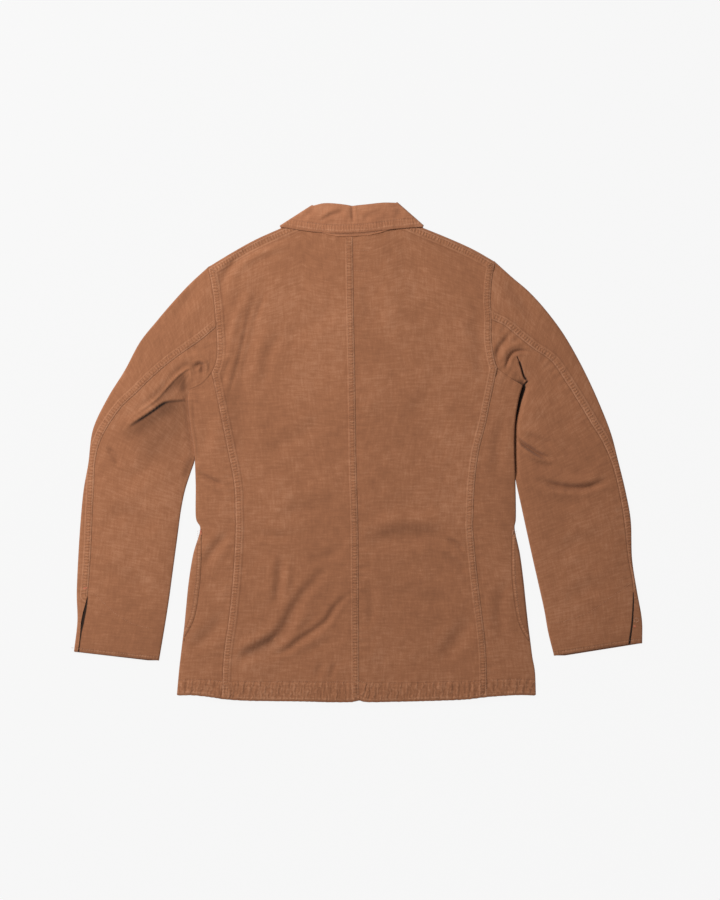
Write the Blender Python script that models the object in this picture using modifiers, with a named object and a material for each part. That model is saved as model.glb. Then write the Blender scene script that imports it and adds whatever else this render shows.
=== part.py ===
"""Chore jacket of washed cotton canvas, laid flat on its front with its back up and its sleeves beside it.

X runs to the right of the laid jacket, Y from hem to collar, Z up; metres. The floor is Z = 0.
The wearer's left side lies at -X. Two layers of cloth lie on each other: the fronts and the lower side of
the sleeves below, the back and the upper side of the sleeves above. They turn into each other at folds, so a
front starts at the side-back seam on the upper layer, turns round the side fold and runs on below to the
centre front.
"""
import math
from collections import namedtuple

import bmesh
import bpy
import numpy as np

# --- driving dimensions ---
CLOTH = 0.0012            # canvas with its seam allowances
SEAM_GAP = 0.0003         # between two pieces that are sewn together
STEP = CLOTH + SEAM_GAP   # from a panel to what lies on it, middle to middle
LOWER = CLOTH / 2         # middle of the lower layer above the floor
UPPER = 0.0052            # middle of the upper layer above the floor, at the folds
CROWN = 0.0030            # how much higher the back lies over the overlapping fronts
CROWN_X = 0.008           # middle of that crown
CROWN_WIDTH = 0.045
HEM_DROP = 0.0095         # the hem of the back lies lower at the middle than at the sides
HALF_HEM = 0.275          # and it is level again this far from the middle

CENTRE_FRONT = -0.007
OVERLAP = 0.020           # each front runs past the centre front by this much
FRONT_HEM = -0.368
FRONT_NECK = 0.262

BUTTON_RADIUS = 0.0088
BUTTON_THICKNESS = 0.0030
BUTTON_COUNT = 5
BUTTON_STEPS = 20
TOP_BUTTON = 0.245
BUTTON_PITCH = 0.108
UNDER_FRONT = {"left": BUTTON_THICKNESS + SEAM_GAP, "right": BUTTON_THICKNESS + SEAM_GAP + STEP}
PLATEAU = {"left": -0.045, "right": 0.030}   # from here to the overlap the front lies at its full lift
RAMP = {"left": -0.050, "right": 0.060}      # and it comes down to the floor over this width

POCKET_HEIGHT = 0.195
POCKET_TOP = -0.117
POCKET_CORNER = 0.075     # radius of its two lower corners
POCKET_OVERHANG = (0.0030, 0.0155)   # its reach past the side fold, at its top and further down
OVERHANG_RUN = 0.090
LEAST_OVERHANG = 0.0006
POCKET_FAR = {"left": -0.107, "right": 0.094}   # its edge near the centre front
COLLAR_REACH = (-0.118, 0.099, 0.235, 0.400)    # low x, high x, low y, high y of the collar below
BEYOND_SIDE = 0.30        # any place outside the side folds
LIFT_MARGIN = 0.045       # a front lies lifted this far round what is under it
LIFT_RAMP = 0.030

CANVAS = (0.34, 0.165, 0.092)
CANVAS_SHADE = (0.30, 0.145, 0.08)
HORN = (0.16, 0.09, 0.05)

# --- grid of the panels: number of cells across each stretch ---
ROLL = 4                  # round a fold
STRIP = 2                 # the front's stretch on the upper layer
SHOULDER = 4
OVER_SEAM = 3             # top sleeve, from its fold to the back seam
UNDER_ARM = 3             # under sleeve, from the back seam to its fold
LEVEL_ROWS = 12           # the rows of the back run level up to here, and then follow the shoulder
TOP_ROWS = 3              # the last rows of the front's upper stretch follow the armhole
BOW_FADE = 1.5            # how fast the shape of a panel's top edge fades over the rows below it
CAP_ROWS = 6              # the rows of a sleeve follow the armhole less and less down to here

# Sizes of the cells beside the seams, which turn half a seam gap into a share of a cell.
BACK_CELL = 0.028
ROW_CELL = 0.020
SLEEVE_CELL = 0.026
STRIP_CELL = 0.018
EDGE_CELL = 0.009
OVER_SEAM_CELL = 0.0026

# --- outline of the body, row by row from the hem to the underarm ---
BodyRow = namedtuple("BodyRow", "y left_fold left_seam centre right_seam right_fold")
BODY_ROWS = [
    BodyRow(-0.369, -0.2752, -0.2064, 0.0015, 0.1955, 0.2703),
    BodyRow(-0.335, -0.2720, -0.2052, 0.0015, 0.1955, 0.2690),
    BodyRow(-0.312, -0.2692, -0.2038, 0.0015, 0.1947, 0.2650),
    BodyRow(-0.287, -0.2657, -0.2009, 0.0014, 0.1930, 0.2606),
    BodyRow(-0.262, -0.2626, -0.1970, 0.0012, 0.1902, 0.2572),
    BodyRow(-0.232, -0.2598, -0.1935, 0.0010, 0.1864, 0.2535),
    BodyRow(-0.195, -0.2558, -0.1900, 0.0009, 0.1820, 0.2498),
    BodyRow(-0.155, -0.2487, -0.1873, 0.0008, 0.1779, 0.2443),
    BodyRow(-0.117, -0.2390, -0.1857, 0.0004, 0.1747, 0.2380),
    BodyRow(-0.098, -0.2462, -0.1859, 0.0000, 0.1748, 0.2400),
    BodyRow(-0.050, -0.2467, -0.1879, -0.0015, 0.1771, 0.2390),
    BodyRow(0.000, -0.2490, -0.1973, -0.0029, 0.1835, 0.2376),
    BodyRow(0.042, -0.2545, -0.2058, -0.0033, 0.1940, 0.2394),
    BodyRow(0.078, -0.2578, -0.2132, -0.0039, 0.2013, 0.2458),
]
POCKET_ROW = 8            # the row at the pocket's top edge
POCKET_LAST_ROW = 3       # the lowest row where the pocket still wraps round the fold

# Centre back above those rows, up to the neck seam.
CENTRE_BACK = [(-0.0046, 0.124), (-0.0053, 0.157), (-0.0060, 0.191), (-0.0066, 0.225), (-0.0071, 0.259),
               (-0.0075, 0.293), (-0.0079, 0.3274)]

# --- armholes, from the shoulder tip down to the side fold ---
Point = namedtuple("Point", "x y")
ARMHOLE = {
    "left": [Point(-0.2278, 0.2801), Point(-0.2218, 0.2510), Point(-0.2178, 0.2200), Point(-0.2153, 0.1883),
             Point(-0.2140, 0.1650), Point(-0.2148, 0.1400), Point(-0.2221, 0.1204), Point(-0.2380, 0.1055),
             Point(-0.2546, 0.0994)],
    "right": [Point(0.2084, 0.2880), Point(0.2032, 0.2580), Point(0.2015, 0.2290), Point(0.2031, 0.2000),
              Point(0.2027, 0.1760), Point(0.2046, 0.1520), Point(0.2105, 0.1270), Point(0.2280, 0.1138),
              Point(0.2485, 0.1038)],
}
SLEEVE_SEAM = 3           # the armhole point where the sleeve's back seam starts
SIDE_SEAM = 6             # the armhole point where the side-back seam ends

# --- shoulders and neck, from the neck point outwards, or to the middle ---
SHOULDER_LINE = {
    "left": [Point(-0.0850, 0.3530), Point(-0.1233, 0.3365), Point(-0.1563, 0.3216), Point(-0.1892, 0.3035)],
    "right": [Point(0.0700, 0.3520), Point(0.0983, 0.3400), Point(0.1340, 0.3255), Point(0.1743, 0.3075)],
}
BACK_NECK = {
    "left": [Point(-0.0079, 0.3274), Point(-0.0350, 0.3288), Point(-0.0630, 0.3375)],
    "right": [Point(-0.0079, 0.3274), Point(0.0200, 0.3295), Point(0.0480, 0.3385)],
}
FRONT_NECKLINE = {
    "left": [Point(-0.0820, 0.3250), Point(-0.0680, 0.2950), Point(-0.0420, 0.2720), Point(-0.0100, 0.2620)],
    "right": [Point(0.0670, 0.3250), Point(0.0540, 0.2950), Point(0.0290, 0.2720), Point(-0.0040, 0.2620)],
}

# --- collar: its roll line and its outer edge, from the middle of the back to the front ---
ROLL_LINE_BACK = {
    "left": [Point(-0.0085, 0.3719), Point(-0.0300, 0.3758), Point(-0.0520, 0.3768), Point(-0.0714, 0.3753)],
    "right": [Point(-0.0085, 0.3719), Point(0.0150, 0.3750), Point(0.0390, 0.3780), Point(0.0608, 0.3797)],
}
ROLL_LINE_FRONT = {
    "left": [Point(-0.0700, 0.3450), Point(-0.0550, 0.3130), Point(-0.0330, 0.2910), Point(-0.0100, 0.2810)],
    "right": [Point(0.0590, 0.3450), Point(0.0440, 0.3130), Point(0.0200, 0.2910), Point(-0.0040, 0.2810)],
}
OUTER_EDGE_BACK = {
    "left": [Point(-0.0085, 0.3321), Point(-0.0447, 0.3324), Point(-0.0810, 0.3365), Point(-0.1185, 0.3435)],
    "right": [Point(-0.0085, 0.3321), Point(0.0200, 0.3342), Point(0.0558, 0.3393), Point(0.0995, 0.3445)],
}
OUTER_EDGE_FRONT = {
    "left": [Point(-0.1140, 0.3150), Point(-0.1070, 0.2880), Point(-0.0980, 0.2620), Point(-0.0880, 0.2380)],
    "right": [Point(0.0990, 0.3150), Point(0.0920, 0.2880), Point(0.0830, 0.2620), Point(0.0730, 0.2380)],
}

# --- sleeves, row by row from the armhole to the cuff: outer edge, back seam and inner edge ---
SleeveRow = namedtuple("SleeveRow", "outer_x outer_y seam_x seam_y inner_x inner_y")
SLEEVE_ROWS = {
    "left": [
        SleeveRow(-0.2278, 0.2801, -0.2153, 0.1883, -0.2221, 0.1204),
        SleeveRow(-0.2560, 0.2543, -0.2380, 0.1694, -0.2380, 0.1055),
        SleeveRow(-0.2830, 0.2250, -0.2620, 0.1525, -0.2596, 0.0972),
        SleeveRow(-0.3050, 0.1990, -0.2860, 0.1350, -0.2595, 0.0660),
        SleeveRow(-0.3310, 0.1665, -0.3110, 0.1145, -0.2570, 0.0380),
        SleeveRow(-0.3540, 0.1240, -0.3360, 0.0890, -0.2520, 0.0100),
        SleeveRow(-0.3790, 0.0835, -0.3610, 0.0645, -0.2500, -0.0120),
        SleeveRow(-0.4015, 0.0360, -0.3865, 0.0255, -0.2550, -0.0350),
        SleeveRow(-0.4100, -0.0180, -0.3980, -0.0100, -0.2625, -0.0600),
        SleeveRow(-0.4170, -0.0580, -0.4008, -0.0550, -0.2685, -0.0900),
        SleeveRow(-0.4215, -0.1050, -0.4032, -0.1050, -0.2743, -0.1310),
        SleeveRow(-0.4250, -0.1600, -0.4058, -0.1600, -0.2810, -0.1820),
        SleeveRow(-0.4274, -0.2150, -0.4104, -0.2178, -0.2873, -0.2280),
        SleeveRow(-0.4268, -0.2580, -0.4175, -0.2600, -0.2940, -0.2710),
        SleeveRow(-0.4316, -0.3032, -0.4230, -0.3036, -0.3020, -0.3168),
    ],
    "right": [
        SleeveRow(0.2084, 0.2880, 0.2031, 0.2000, 0.2105, 0.1270),
        SleeveRow(0.2340, 0.2650, 0.2220, 0.1908, 0.2280, 0.1138),
        SleeveRow(0.2590, 0.2436, 0.2426, 0.1742, 0.2535, 0.1008),
        SleeveRow(0.2830, 0.2175, 0.2660, 0.1535, 0.2506, 0.0740),
        SleeveRow(0.3090, 0.1840, 0.2900, 0.1340, 0.2438, 0.0480),
        SleeveRow(0.3310, 0.1465, 0.3115, 0.1070, 0.2420, 0.0220),
        SleeveRow(0.3510, 0.1075, 0.3340, 0.0735, 0.2406, 0.0000),
        SleeveRow(0.3685, 0.0680, 0.3540, 0.0420, 0.2406, -0.0240),
        SleeveRow(0.3840, 0.0270, 0.3715, 0.0130, 0.2412, -0.0480),
        SleeveRow(0.3960, -0.0160, 0.3855, -0.0215, 0.2472, -0.0818),
        SleeveRow(0.4069, -0.0632, 0.3970, -0.0660, 0.2555, -0.1200),
        SleeveRow(0.4145, -0.1060, 0.4045, -0.1100, 0.2645, -0.1600),
        SleeveRow(0.4165, -0.1620, 0.4090, -0.1580, 0.2730, -0.1970),
        SleeveRow(0.4233, -0.2100, 0.4150, -0.2060, 0.2825, -0.2400),
        SleeveRow(0.4316, -0.2560, 0.4180, -0.2520, 0.2885, -0.2740),
        SleeveRow(0.4320, -0.2905, 0.4150, -0.2925, 0.2975, -0.3103),
    ],
}
VENT_ROWS = 2             # the back seam stays open over the last rows, as the vent of the cuff
VENT_GAP = 0.0008
SHOULDER_SEAM_END = 0.15  # the front's turn over the shoulder stops this share of a cell early
ARMHOLE_ROWS = 2          # the first rows end on the armhole, and the inner fold starts after them
FRONT_SEAM_INSET = 0.014  # the sleeve's front seam lies below, this far in from its inner fold
FRONT_SEAM_START = 0.002
FRONT_SEAM_ROWS = 1.5     # it has come in that far over this many rows

# --- the largest folds of the upper layer; the width is that of the bell curve across the fold ---
Fold = namedtuple("Fold", "x0 y0 x1 y1 height width")
FOLDS = [
    Fold(-0.040, -0.197, -0.174, -0.315, -0.0010, 0.014),
    Fold(-0.165, 0.245, -0.194, 0.071, -0.0010, 0.0125),
    Fold(0.004, -0.138, 0.146, -0.138, -0.0010, 0.014),
    Fold(0.171, -0.249, 0.128, -0.318, -0.0008, 0.0125),
    Fold(-0.100, 0.322, -0.205, 0.278, -0.0008, 0.011),
    Fold(-0.345, 0.040, -0.285, 0.076, -0.0012, 0.010),
    Fold(0.250, 0.008, 0.310, -0.016, -0.0010, 0.010),
    Fold(0.300, -0.048, 0.380, -0.044, 0.0010, 0.011),
]

SIDES = ("left", "right")
OUTWARD = {"left": -1.0, "right": 1.0}       # X direction from the middle to each side

# Ways outwards at the folds of the collar, for the right side: at the neck point, at the end of the roll line
# and at the outer edge.
NECK_OUTWARD = (0.43, 0.90)
ROLL_OUTWARD = (0.85, 0.52)
EDGE_OUTWARD = (0.57, 0.82)


# --- small geometry helpers ---
def mix(a, b, share):
    return a + (b - a) * share


def ease(share):
    share = min(max(share, 0.0), 1.0)
    return share * share * (3 - 2 * share)


def unit(vector):
    return vector / np.linalg.norm(vector)


class Line:
    """Straight runs through points, read at any place: line(2.5) is half-way from point 2 to point 3."""

    def __init__(self, points):
        self.points = np.array(points, float)
        self.last = len(self.points) - 1

    def __call__(self, place):
        place = min(max(place, 0.0), self.last)
        start = min(int(place), self.last - 1)
        return mix(self.points[start], self.points[start + 1], place - start)


def bow(line, place):
    """How far a line stands from the straight run between its ends."""
    return line(place) - mix(line.points[0], line.points[-1], place / line.last)


class FoldLine:
    """Where cloth turns from one layer into the other: its edge seen from above, and the way outwards."""

    def __init__(self, edge, outward_side, first=None, last=None):
        self.edge = Line(edge)
        ways = [unit(way) for way in np.gradient(self.edge.points, axis=0)]
        outward = [np.array((way[1], -way[0])) for way in ways]
        outward = [way if way @ outward_side > 0 else -way for way in outward]
        if first is not None:
            outward[0] = unit(np.array(first))
        if last is not None:
            outward[-1] = unit(np.array(last))
        self.outward = Line(outward)

    def turn(self, place, radius):
        """Where the flat cloth ends and starts to turn."""
        return self.edge(place) - self.outward(place) * (radius + CLOTH / 2)

    def around(self, place, angle, low, high, out=0.0):
        """A point of the turn: angle 0 is on the upper layer and pi on the lower one."""
        radius = (high - low) / 2
        start = self.turn(place, radius)
        reach = (radius + out) * math.sin(angle)
        plan = start + self.outward(place) * reach
        return np.array((plan[0], plan[1], (low + high) / 2 + (radius + out) * math.cos(angle)))


def hem_drop(x, row):
    """How much lower the hem row of the upper layer lies here."""
    return max(1 - row, 0.0) * HEM_DROP * (1 - min(abs(x) / HALF_HEM, 1.0) ** 4)


def seam_inset(place, last, cell):
    """Moves the first and last place of a panel in by half a seam gap; cell is the size of one place."""
    share = SEAM_GAP / 2 / cell
    return min(max(place, share), last - share)


# --- heights of the two layers ---
def fold_height(x, y):
    total = 0.0
    for fold in FOLDS:
        run = np.array((fold.x1 - fold.x0, fold.y1 - fold.y0))
        from_start = np.array((x - fold.x0, y - fold.y0))
        length = np.linalg.norm(run)
        along = from_start @ run / length
        across = abs(from_start @ np.array((-run[1], run[0]))) / length
        past_end = max(-along, along - length, 0.0)
        total += fold.height * math.exp(-(across ** 2 + past_end ** 2) / (2 * fold.width ** 2))
    return total


def upper_height(plan):
    x, y = plan[0], plan[1]
    crown = CROWN * math.exp(-((x - CROWN_X) / CROWN_WIDTH) ** 2 / 2)
    return UPPER + crown + fold_height(x, y)


def covered(x, y, low_x, high_x, low_y, high_y):
    """1 over a rectangle and round it, coming down to 0 further out."""
    out_x = max(low_x - x, x - high_x, 0.0)
    out_y = max(low_y - y, y - high_y, 0.0)
    return ease(1 - (math.hypot(out_x, out_y) - LIFT_MARGIN) / LIFT_RAMP)


def lower_height(side, plan):
    """The front lies on the floor, lifted over the pocket, the collar and the buttons that are under it."""
    x, y = plan[0], plan[1]
    pocket_x = sorted((POCKET_FAR[side], OUTWARD[side] * BEYOND_SIDE))
    over_pocket = covered(x, y, *pocket_x, POCKET_TOP - POCKET_HEIGHT, POCKET_TOP)
    over_collar = covered(x, y, *COLLAR_REACH)
    over_buttons = ease(1 - (x - PLATEAU[side]) / RAMP[side])
    return LOWER + max(STEP * max(over_pocket, over_collar), UNDER_FRONT[side] * over_buttons)


def fold_radius(side, plan):
    return (upper_height(plan) - lower_height(side, plan)) / 2


def on_upper(plan, out=0.0):
    return np.array((plan[0], plan[1], upper_height(plan) + out))


def on_lower(side, plan, out=0.0):
    return np.array((plan[0], plan[1], lower_height(side, plan) - out))


def on_floor(plan):
    return np.array((plan[0], plan[1], LOWER))


# --- lines that more than one panel uses ---
def tip_outward(side):
    tip, below = np.array(ARMHOLE[side][0]), np.array(ARMHOLE[side][1])
    return unit(tip - below)


def flat_armhole(side):
    """The armhole from the shoulder tip to the side fold, on the flat cloth of either layer."""
    points = [np.array(point) for point in ARMHOLE[side]]
    radius = fold_radius(side, points[0])
    points[0] = points[0] - tip_outward(side) * (radius + CLOTH / 2)
    return points


def shoulder_fold(side):
    edge = SHOULDER_LINE[side] + [ARMHOLE[side][0]]
    first = np.array(NECK_OUTWARD) * (OUTWARD[side], 1.0)
    return FoldLine(edge, np.array((0.0, 1.0)), first=first, last=tip_outward(side))


def body_fold(side):
    """The side fold, from the hem to the underarm."""
    edge = [np.array((getattr(row, side + "_fold"), row.y)) for row in BODY_ROWS]
    before, corner = np.array(ARMHOLE[side][-2]), np.array(ARMHOLE[side][-1])
    outward = unit(corner - before)
    edge.append(corner + outward * (fold_radius(side, corner) + CLOTH / 2))
    return FoldLine(edge, np.array((OUTWARD[side], 0.0)), last=outward)


def side_seam(side):
    points = [np.array((getattr(row, side + "_seam"), row.y)) for row in BODY_ROWS]
    return points + [np.array(ARMHOLE[side][SIDE_SEAM])]


def shoulder_turn(side):
    fold = shoulder_fold(side)
    return [fold.turn(k, fold_radius(side, fold.edge(k))) for k in range(SHOULDER + 1)]


UNDERARM_ROW = len(BODY_ROWS)
FRONT_TO_TIP = len(ARMHOLE["left"]) - 1     # rows of the front above the side fold


# --- panels of the body ---
def back_panel(side):
    """(columns, rows, place) of one half of the back: columns from the centre back to the side."""
    centre = Line([(row.centre, row.y) for row in BODY_ROWS] + CENTRE_BACK)
    armhole = flat_armhole(side)
    edge = Line(side_seam(side) + armhole[SIDE_SEAM - 1::-1])
    top = Line(BACK_NECK[side] + shoulder_turn(side))
    columns, rows = top.last, edge.last

    def place(i, j):
        i = seam_inset(i, columns, BACK_CELL)
        j = seam_inset(j, rows, ROW_CELL)
        rise = max(j - LEVEL_ROWS, 0.0) / (rows - LEVEL_ROWS)
        plan = mix(centre(j), edge(j), i / columns) + bow(top, i) * rise ** BOW_FADE
        return on_upper(plan - np.array((0.0, hem_drop(plan[0], j))))

    return columns, rows, place


class Front:
    """One front: from the side-back seam round the side fold to the centre front, and over the shoulder."""

    def __init__(self, side):
        self.side = side
        self.seam = Line(side_seam(side))
        self.fold = body_fold(side)
        self.shoulder = shoulder_fold(side)
        armhole = flat_armhole(side)
        self.strip_top = Line(armhole[SIDE_SEAM:])
        self.turn_row = [self.fold.turn(j, self.radius(j)) for j in range(UNDERARM_ROW + 1)]
        self.lower_edge = Line(self.turn_row[:-1] + armhole[::-1])
        edge_x = CENTRE_FRONT - OUTWARD[side] * OVERLAP
        neck_edge = Point(edge_x, FRONT_NECK)
        self.top = Line(shoulder_turn(side)[::-1] + FRONT_NECKLINE[side] + [neck_edge])
        levels = [row.y for row in BODY_ROWS]
        levels[0] = FRONT_HEM
        start = levels[-1]
        rises = range(1, FRONT_TO_TIP + 2)
        levels += [mix(start, neck_edge.y, step / (FRONT_TO_TIP + 1)) for step in rises]
        self.opening = Line([(edge_x, level) for level in levels])
        self.lower_start = STRIP + ROLL
        self.lower_columns = self.top.last
        self.columns = self.lower_start + self.lower_columns
        self.lower_rows = UNDERARM_ROW + FRONT_TO_TIP
        self.rows = self.lower_rows + ROLL

    def radius(self, j):
        return fold_radius(self.side, self.fold.edge(j))

    def limits(self, j):
        """(low, high) of the cloth at the side fold."""
        edge = self.fold.edge(j)
        return lower_height(self.side, edge), upper_height(edge)

    def lower_plan(self, u, j):
        across = u / self.lower_columns
        rise = max(j - UNDERARM_ROW + 2, 0.0) / (FRONT_TO_TIP + 2)
        return mix(self.lower_edge(j), self.opening(j), across) + bow(self.top, u) * rise ** BOW_FADE

    def strip_plan(self, i, j):
        turn = self.fold.turn(j, self.radius(j))
        near_top = max(j - UNDERARM_ROW + TOP_ROWS, 0.0) / TOP_ROWS
        plan = mix(self.seam(j), turn, i / STRIP) + bow(self.strip_top, i) * near_top ** 2
        return plan - np.array((0.0, hem_drop(plan[0], j)))

    def surface(self, i, j, out=0.0):
        """A point of the front, moved out of the jacket by out."""
        if i <= STRIP:
            return on_upper(self.strip_plan(i, j), out)
        if i < self.lower_start:
            low, high = self.limits(j)
            return self.fold.around(j, math.pi * (i - STRIP) / ROLL, low, high, out)
        return on_lower(self.side, self.lower_plan(i - self.lower_start, j), out)

    def over_shoulder(self, i, j):
        """The rows that turn round the shoulder fold up to the shoulder seam."""
        column = SHOULDER - (i - self.lower_start)
        edge = self.shoulder.edge(column)
        low, high = lower_height(self.side, edge), upper_height(edge)
        return self.shoulder.around(column, math.pi * (1 - (j - self.lower_rows) / ROLL), low, high)

    def keep(self, i, j):
        """Whether the cell from (i, j) is cloth: above the underarm only the lower layer is."""
        if j >= self.lower_rows:
            return self.lower_start <= i < self.lower_start + SHOULDER
        return j < UNDERARM_ROW or i >= self.lower_start

    def place(self, i, j):
        if j > self.lower_rows:
            i = self.lower_start + seam_inset(i - self.lower_start, SHOULDER, EDGE_CELL)
            return self.over_shoulder(i, min(j, self.rows - SHOULDER_SEAM_END))
        if j >= UNDERARM_ROW and i >= self.lower_start:
            i = max(i, self.lower_start + SEAM_GAP / 2 / SLEEVE_CELL)
        if j == UNDERARM_ROW and i <= self.lower_start:
            j -= SEAM_GAP / ROW_CELL
        if i >= self.lower_start + SHOULDER:
            j = min(j, self.lower_rows - SEAM_GAP / 2 / STRIP_CELL)
        return self.surface(max(i, SEAM_GAP / 2 / STRIP_CELL), j)


class Pocket:
    """A patch pocket that lies on the front and wraps round its side fold; row 0 is its lower edge."""

    over, roll, lower = 1, ROLL, 4      # its columns on the upper layer, round the fold and below
    round_rows = 3                      # its rows along the rounded lower corners

    def __init__(self, side):
        self.side = side
        self.front = Front(side)
        self.columns = self.over + self.roll + self.lower
        self.rows = self.round_rows + POCKET_ROW - POCKET_LAST_ROW
        self.bottom = POCKET_TOP - POCKET_HEIGHT

    def inset(self, y):
        """How far the rounded corner has drawn the side edge in, at this level."""
        into = max(self.bottom + POCKET_CORNER - y, 0.0)
        return POCKET_CORNER - math.sqrt(max(POCKET_CORNER ** 2 - into ** 2, 0.0))

    def overhang(self, y):
        """The pocket's reach past the side fold, on the upper layer."""
        reach = mix(*POCKET_OVERHANG, ease((POCKET_TOP - y) / OVERHANG_RUN))
        return max(reach - self.inset(y), LEAST_OVERHANG)

    def keep(self, i, j):
        return j >= self.round_rows or i >= self.over + self.roll

    def place(self, i, j):
        if j < self.round_rows:
            return self.round_end(i - self.over - self.roll, j)
        row = POCKET_LAST_ROW + j - self.round_rows
        level = self.front.fold.edge(row)[1]
        if i < self.over:
            strip = self.front.strip_plan(0, row)
            width = np.linalg.norm(strip - self.front.strip_plan(STRIP, row))
            return self.front.surface(STRIP * (1 - self.overhang(level) / width), row, STEP)
        if i < self.over + self.roll:
            return self.front.surface(STRIP + i - self.over, row, STEP)
        start = self.front.surface(self.front.lower_start, row)
        return self.across(start[0], level, i - self.over - self.roll)

    def across(self, start_x, level, column):
        far = POCKET_FAR[self.side] + OUTWARD[self.side] * self.inset(level)
        plan = np.array((mix(start_x, far, column / self.lower), level))
        return on_lower(self.side, plan, STEP)

    def round_end(self, column, j):
        """The rows below the place where the corner has passed the fold."""
        edge_level = self.front.fold.edge(POCKET_LAST_ROW)[1]
        angle = math.pi / 2 * (1 - j / self.round_rows)
        level = mix(edge_level, self.bottom, math.sin(angle))
        fold_x = self.front.surface(self.front.lower_start, POCKET_LAST_ROW)[0]
        start_x = fold_x - OUTWARD[self.side] * (self.inset(level) - self.inset(edge_level))
        return self.across(start_x, level, column)


# --- sleeves ---
class Sleeve:
    """Both panels of one sleeve share its rows: row 0 is at the armhole, the last row at the cuff."""

    keep = None

    def __init__(self, side):
        self.side = side
        rows = SLEEVE_ROWS[side]
        self.rows = len(rows) - 1
        outward = np.array((OUTWARD[side], 0.1))
        self.outer = FoldLine([(r.outer_x, r.outer_y) for r in rows], outward, first=tip_outward(side))
        self.seam = Line([(r.seam_x, r.seam_y) for r in rows])
        inner = [(r.inner_x, r.inner_y) for r in rows]
        self.inner = FoldLine(inner[ARMHOLE_ROWS:], -outward, first=(-OUTWARD[side], 0.0))
        armhole = flat_armhole(side)
        turns = [self.inner.turn(k, self.radius(point)) for k, point in enumerate(inner[ARMHOLE_ROWS:])]
        self.flat_inner = Line([np.array(point) for point in inner[:ARMHOLE_ROWS]] + turns)
        self.cap_outer = Line(armhole[:SLEEVE_SEAM + 1])
        self.cap_inner = Line(armhole[SLEEVE_SEAM:SIDE_SEAM + 1])
        self.cap = Line(armhole[:SIDE_SEAM + 1])

    def radius(self, plan):
        return (upper_height(plan) - LOWER) / 2

    def flat_outer(self, j):
        return self.outer.turn(j, self.radius(self.outer.edge(j)))

    def fading(self, j):
        return max(1 - j / CAP_ROWS, 0.0) ** 2

    def front_seam(self, j):
        """The seam of the lower layer, which starts at the underarm and runs beside the inner fold."""
        inset = mix(FRONT_SEAM_START, FRONT_SEAM_INSET, ease((j - ARMHOLE_ROWS) / FRONT_SEAM_ROWS))
        return self.flat_inner(j) + np.array((OUTWARD[self.side] * inset * (j > 1), 0.0))

    def vent(self, j):
        """The opening of the back seam near the cuff."""
        return VENT_GAP * ease(j - self.rows + VENT_ROWS)


class TopSleeve(Sleeve):
    """From the back seam over the outer fold, and below across to the front seam."""

    def __init__(self, side):
        super().__init__(side)
        self.lower_start = OVER_SEAM + ROLL
        self.lower = SIDE_SEAM
        self.columns = self.lower_start + self.lower

    def place(self, i, j):
        j = max(j, SEAM_GAP / 2 / SLEEVE_CELL)
        if i <= OVER_SEAM:
            i = max(i, (SEAM_GAP / 2 + self.vent(j)) / OVER_SEAM_CELL)
            share = 1 - i / OVER_SEAM
            plan = mix(self.flat_outer(j), self.seam(j), share)
            return on_upper(plan + bow(self.cap_outer, OVER_SEAM - i) * self.fading(j))
        if i < self.lower_start:
            edge = self.outer.edge(j)
            angle = math.pi * (i - OVER_SEAM) / ROLL
            return self.outer.around(j, angle, LOWER, upper_height(edge))
        u = min(i - self.lower_start, self.lower - SEAM_GAP / 2 / ROW_CELL)
        plan = mix(self.flat_outer(j), self.front_seam(j), u / self.lower)
        return on_floor(plan + bow(self.cap, u) * self.fading(j))


class UnderSleeve(Sleeve):
    """From the back seam across to the inner fold, round it, and below to the front seam."""

    def __init__(self, side):
        super().__init__(side)
        self.upper = UNDER_ARM
        self.lower_start = self.upper + ROLL
        self.columns = self.lower_start + 1

    def keep(self, i, j):
        return j >= ARMHOLE_ROWS or i < self.upper

    def place(self, i, j):
        j = max(j, SEAM_GAP / 2 / SLEEVE_CELL)
        if i <= self.upper:
            i = max(i, (SEAM_GAP / 2 + self.vent(j)) / ROW_CELL)
            if j < ARMHOLE_ROWS:
                i = min(i, self.upper - SEAM_GAP / 2 / ROW_CELL)
            plan = mix(self.seam(j), self.flat_inner(j), i / self.upper)
            return on_upper(plan + bow(self.cap_inner, i) * self.fading(j))
        if i < self.lower_start:
            edge = self.inner.edge(j - ARMHOLE_ROWS)
            angle = math.pi * (i - self.upper) / ROLL
            return self.inner.around(j - ARMHOLE_ROWS, angle, LOWER, upper_height(edge))
        seam = self.front_seam(j) - np.array((OUTWARD[self.side] * SEAM_GAP / 2, 0.0))
        return on_floor(mix(self.flat_inner(j), seam, i - self.lower_start))


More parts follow.
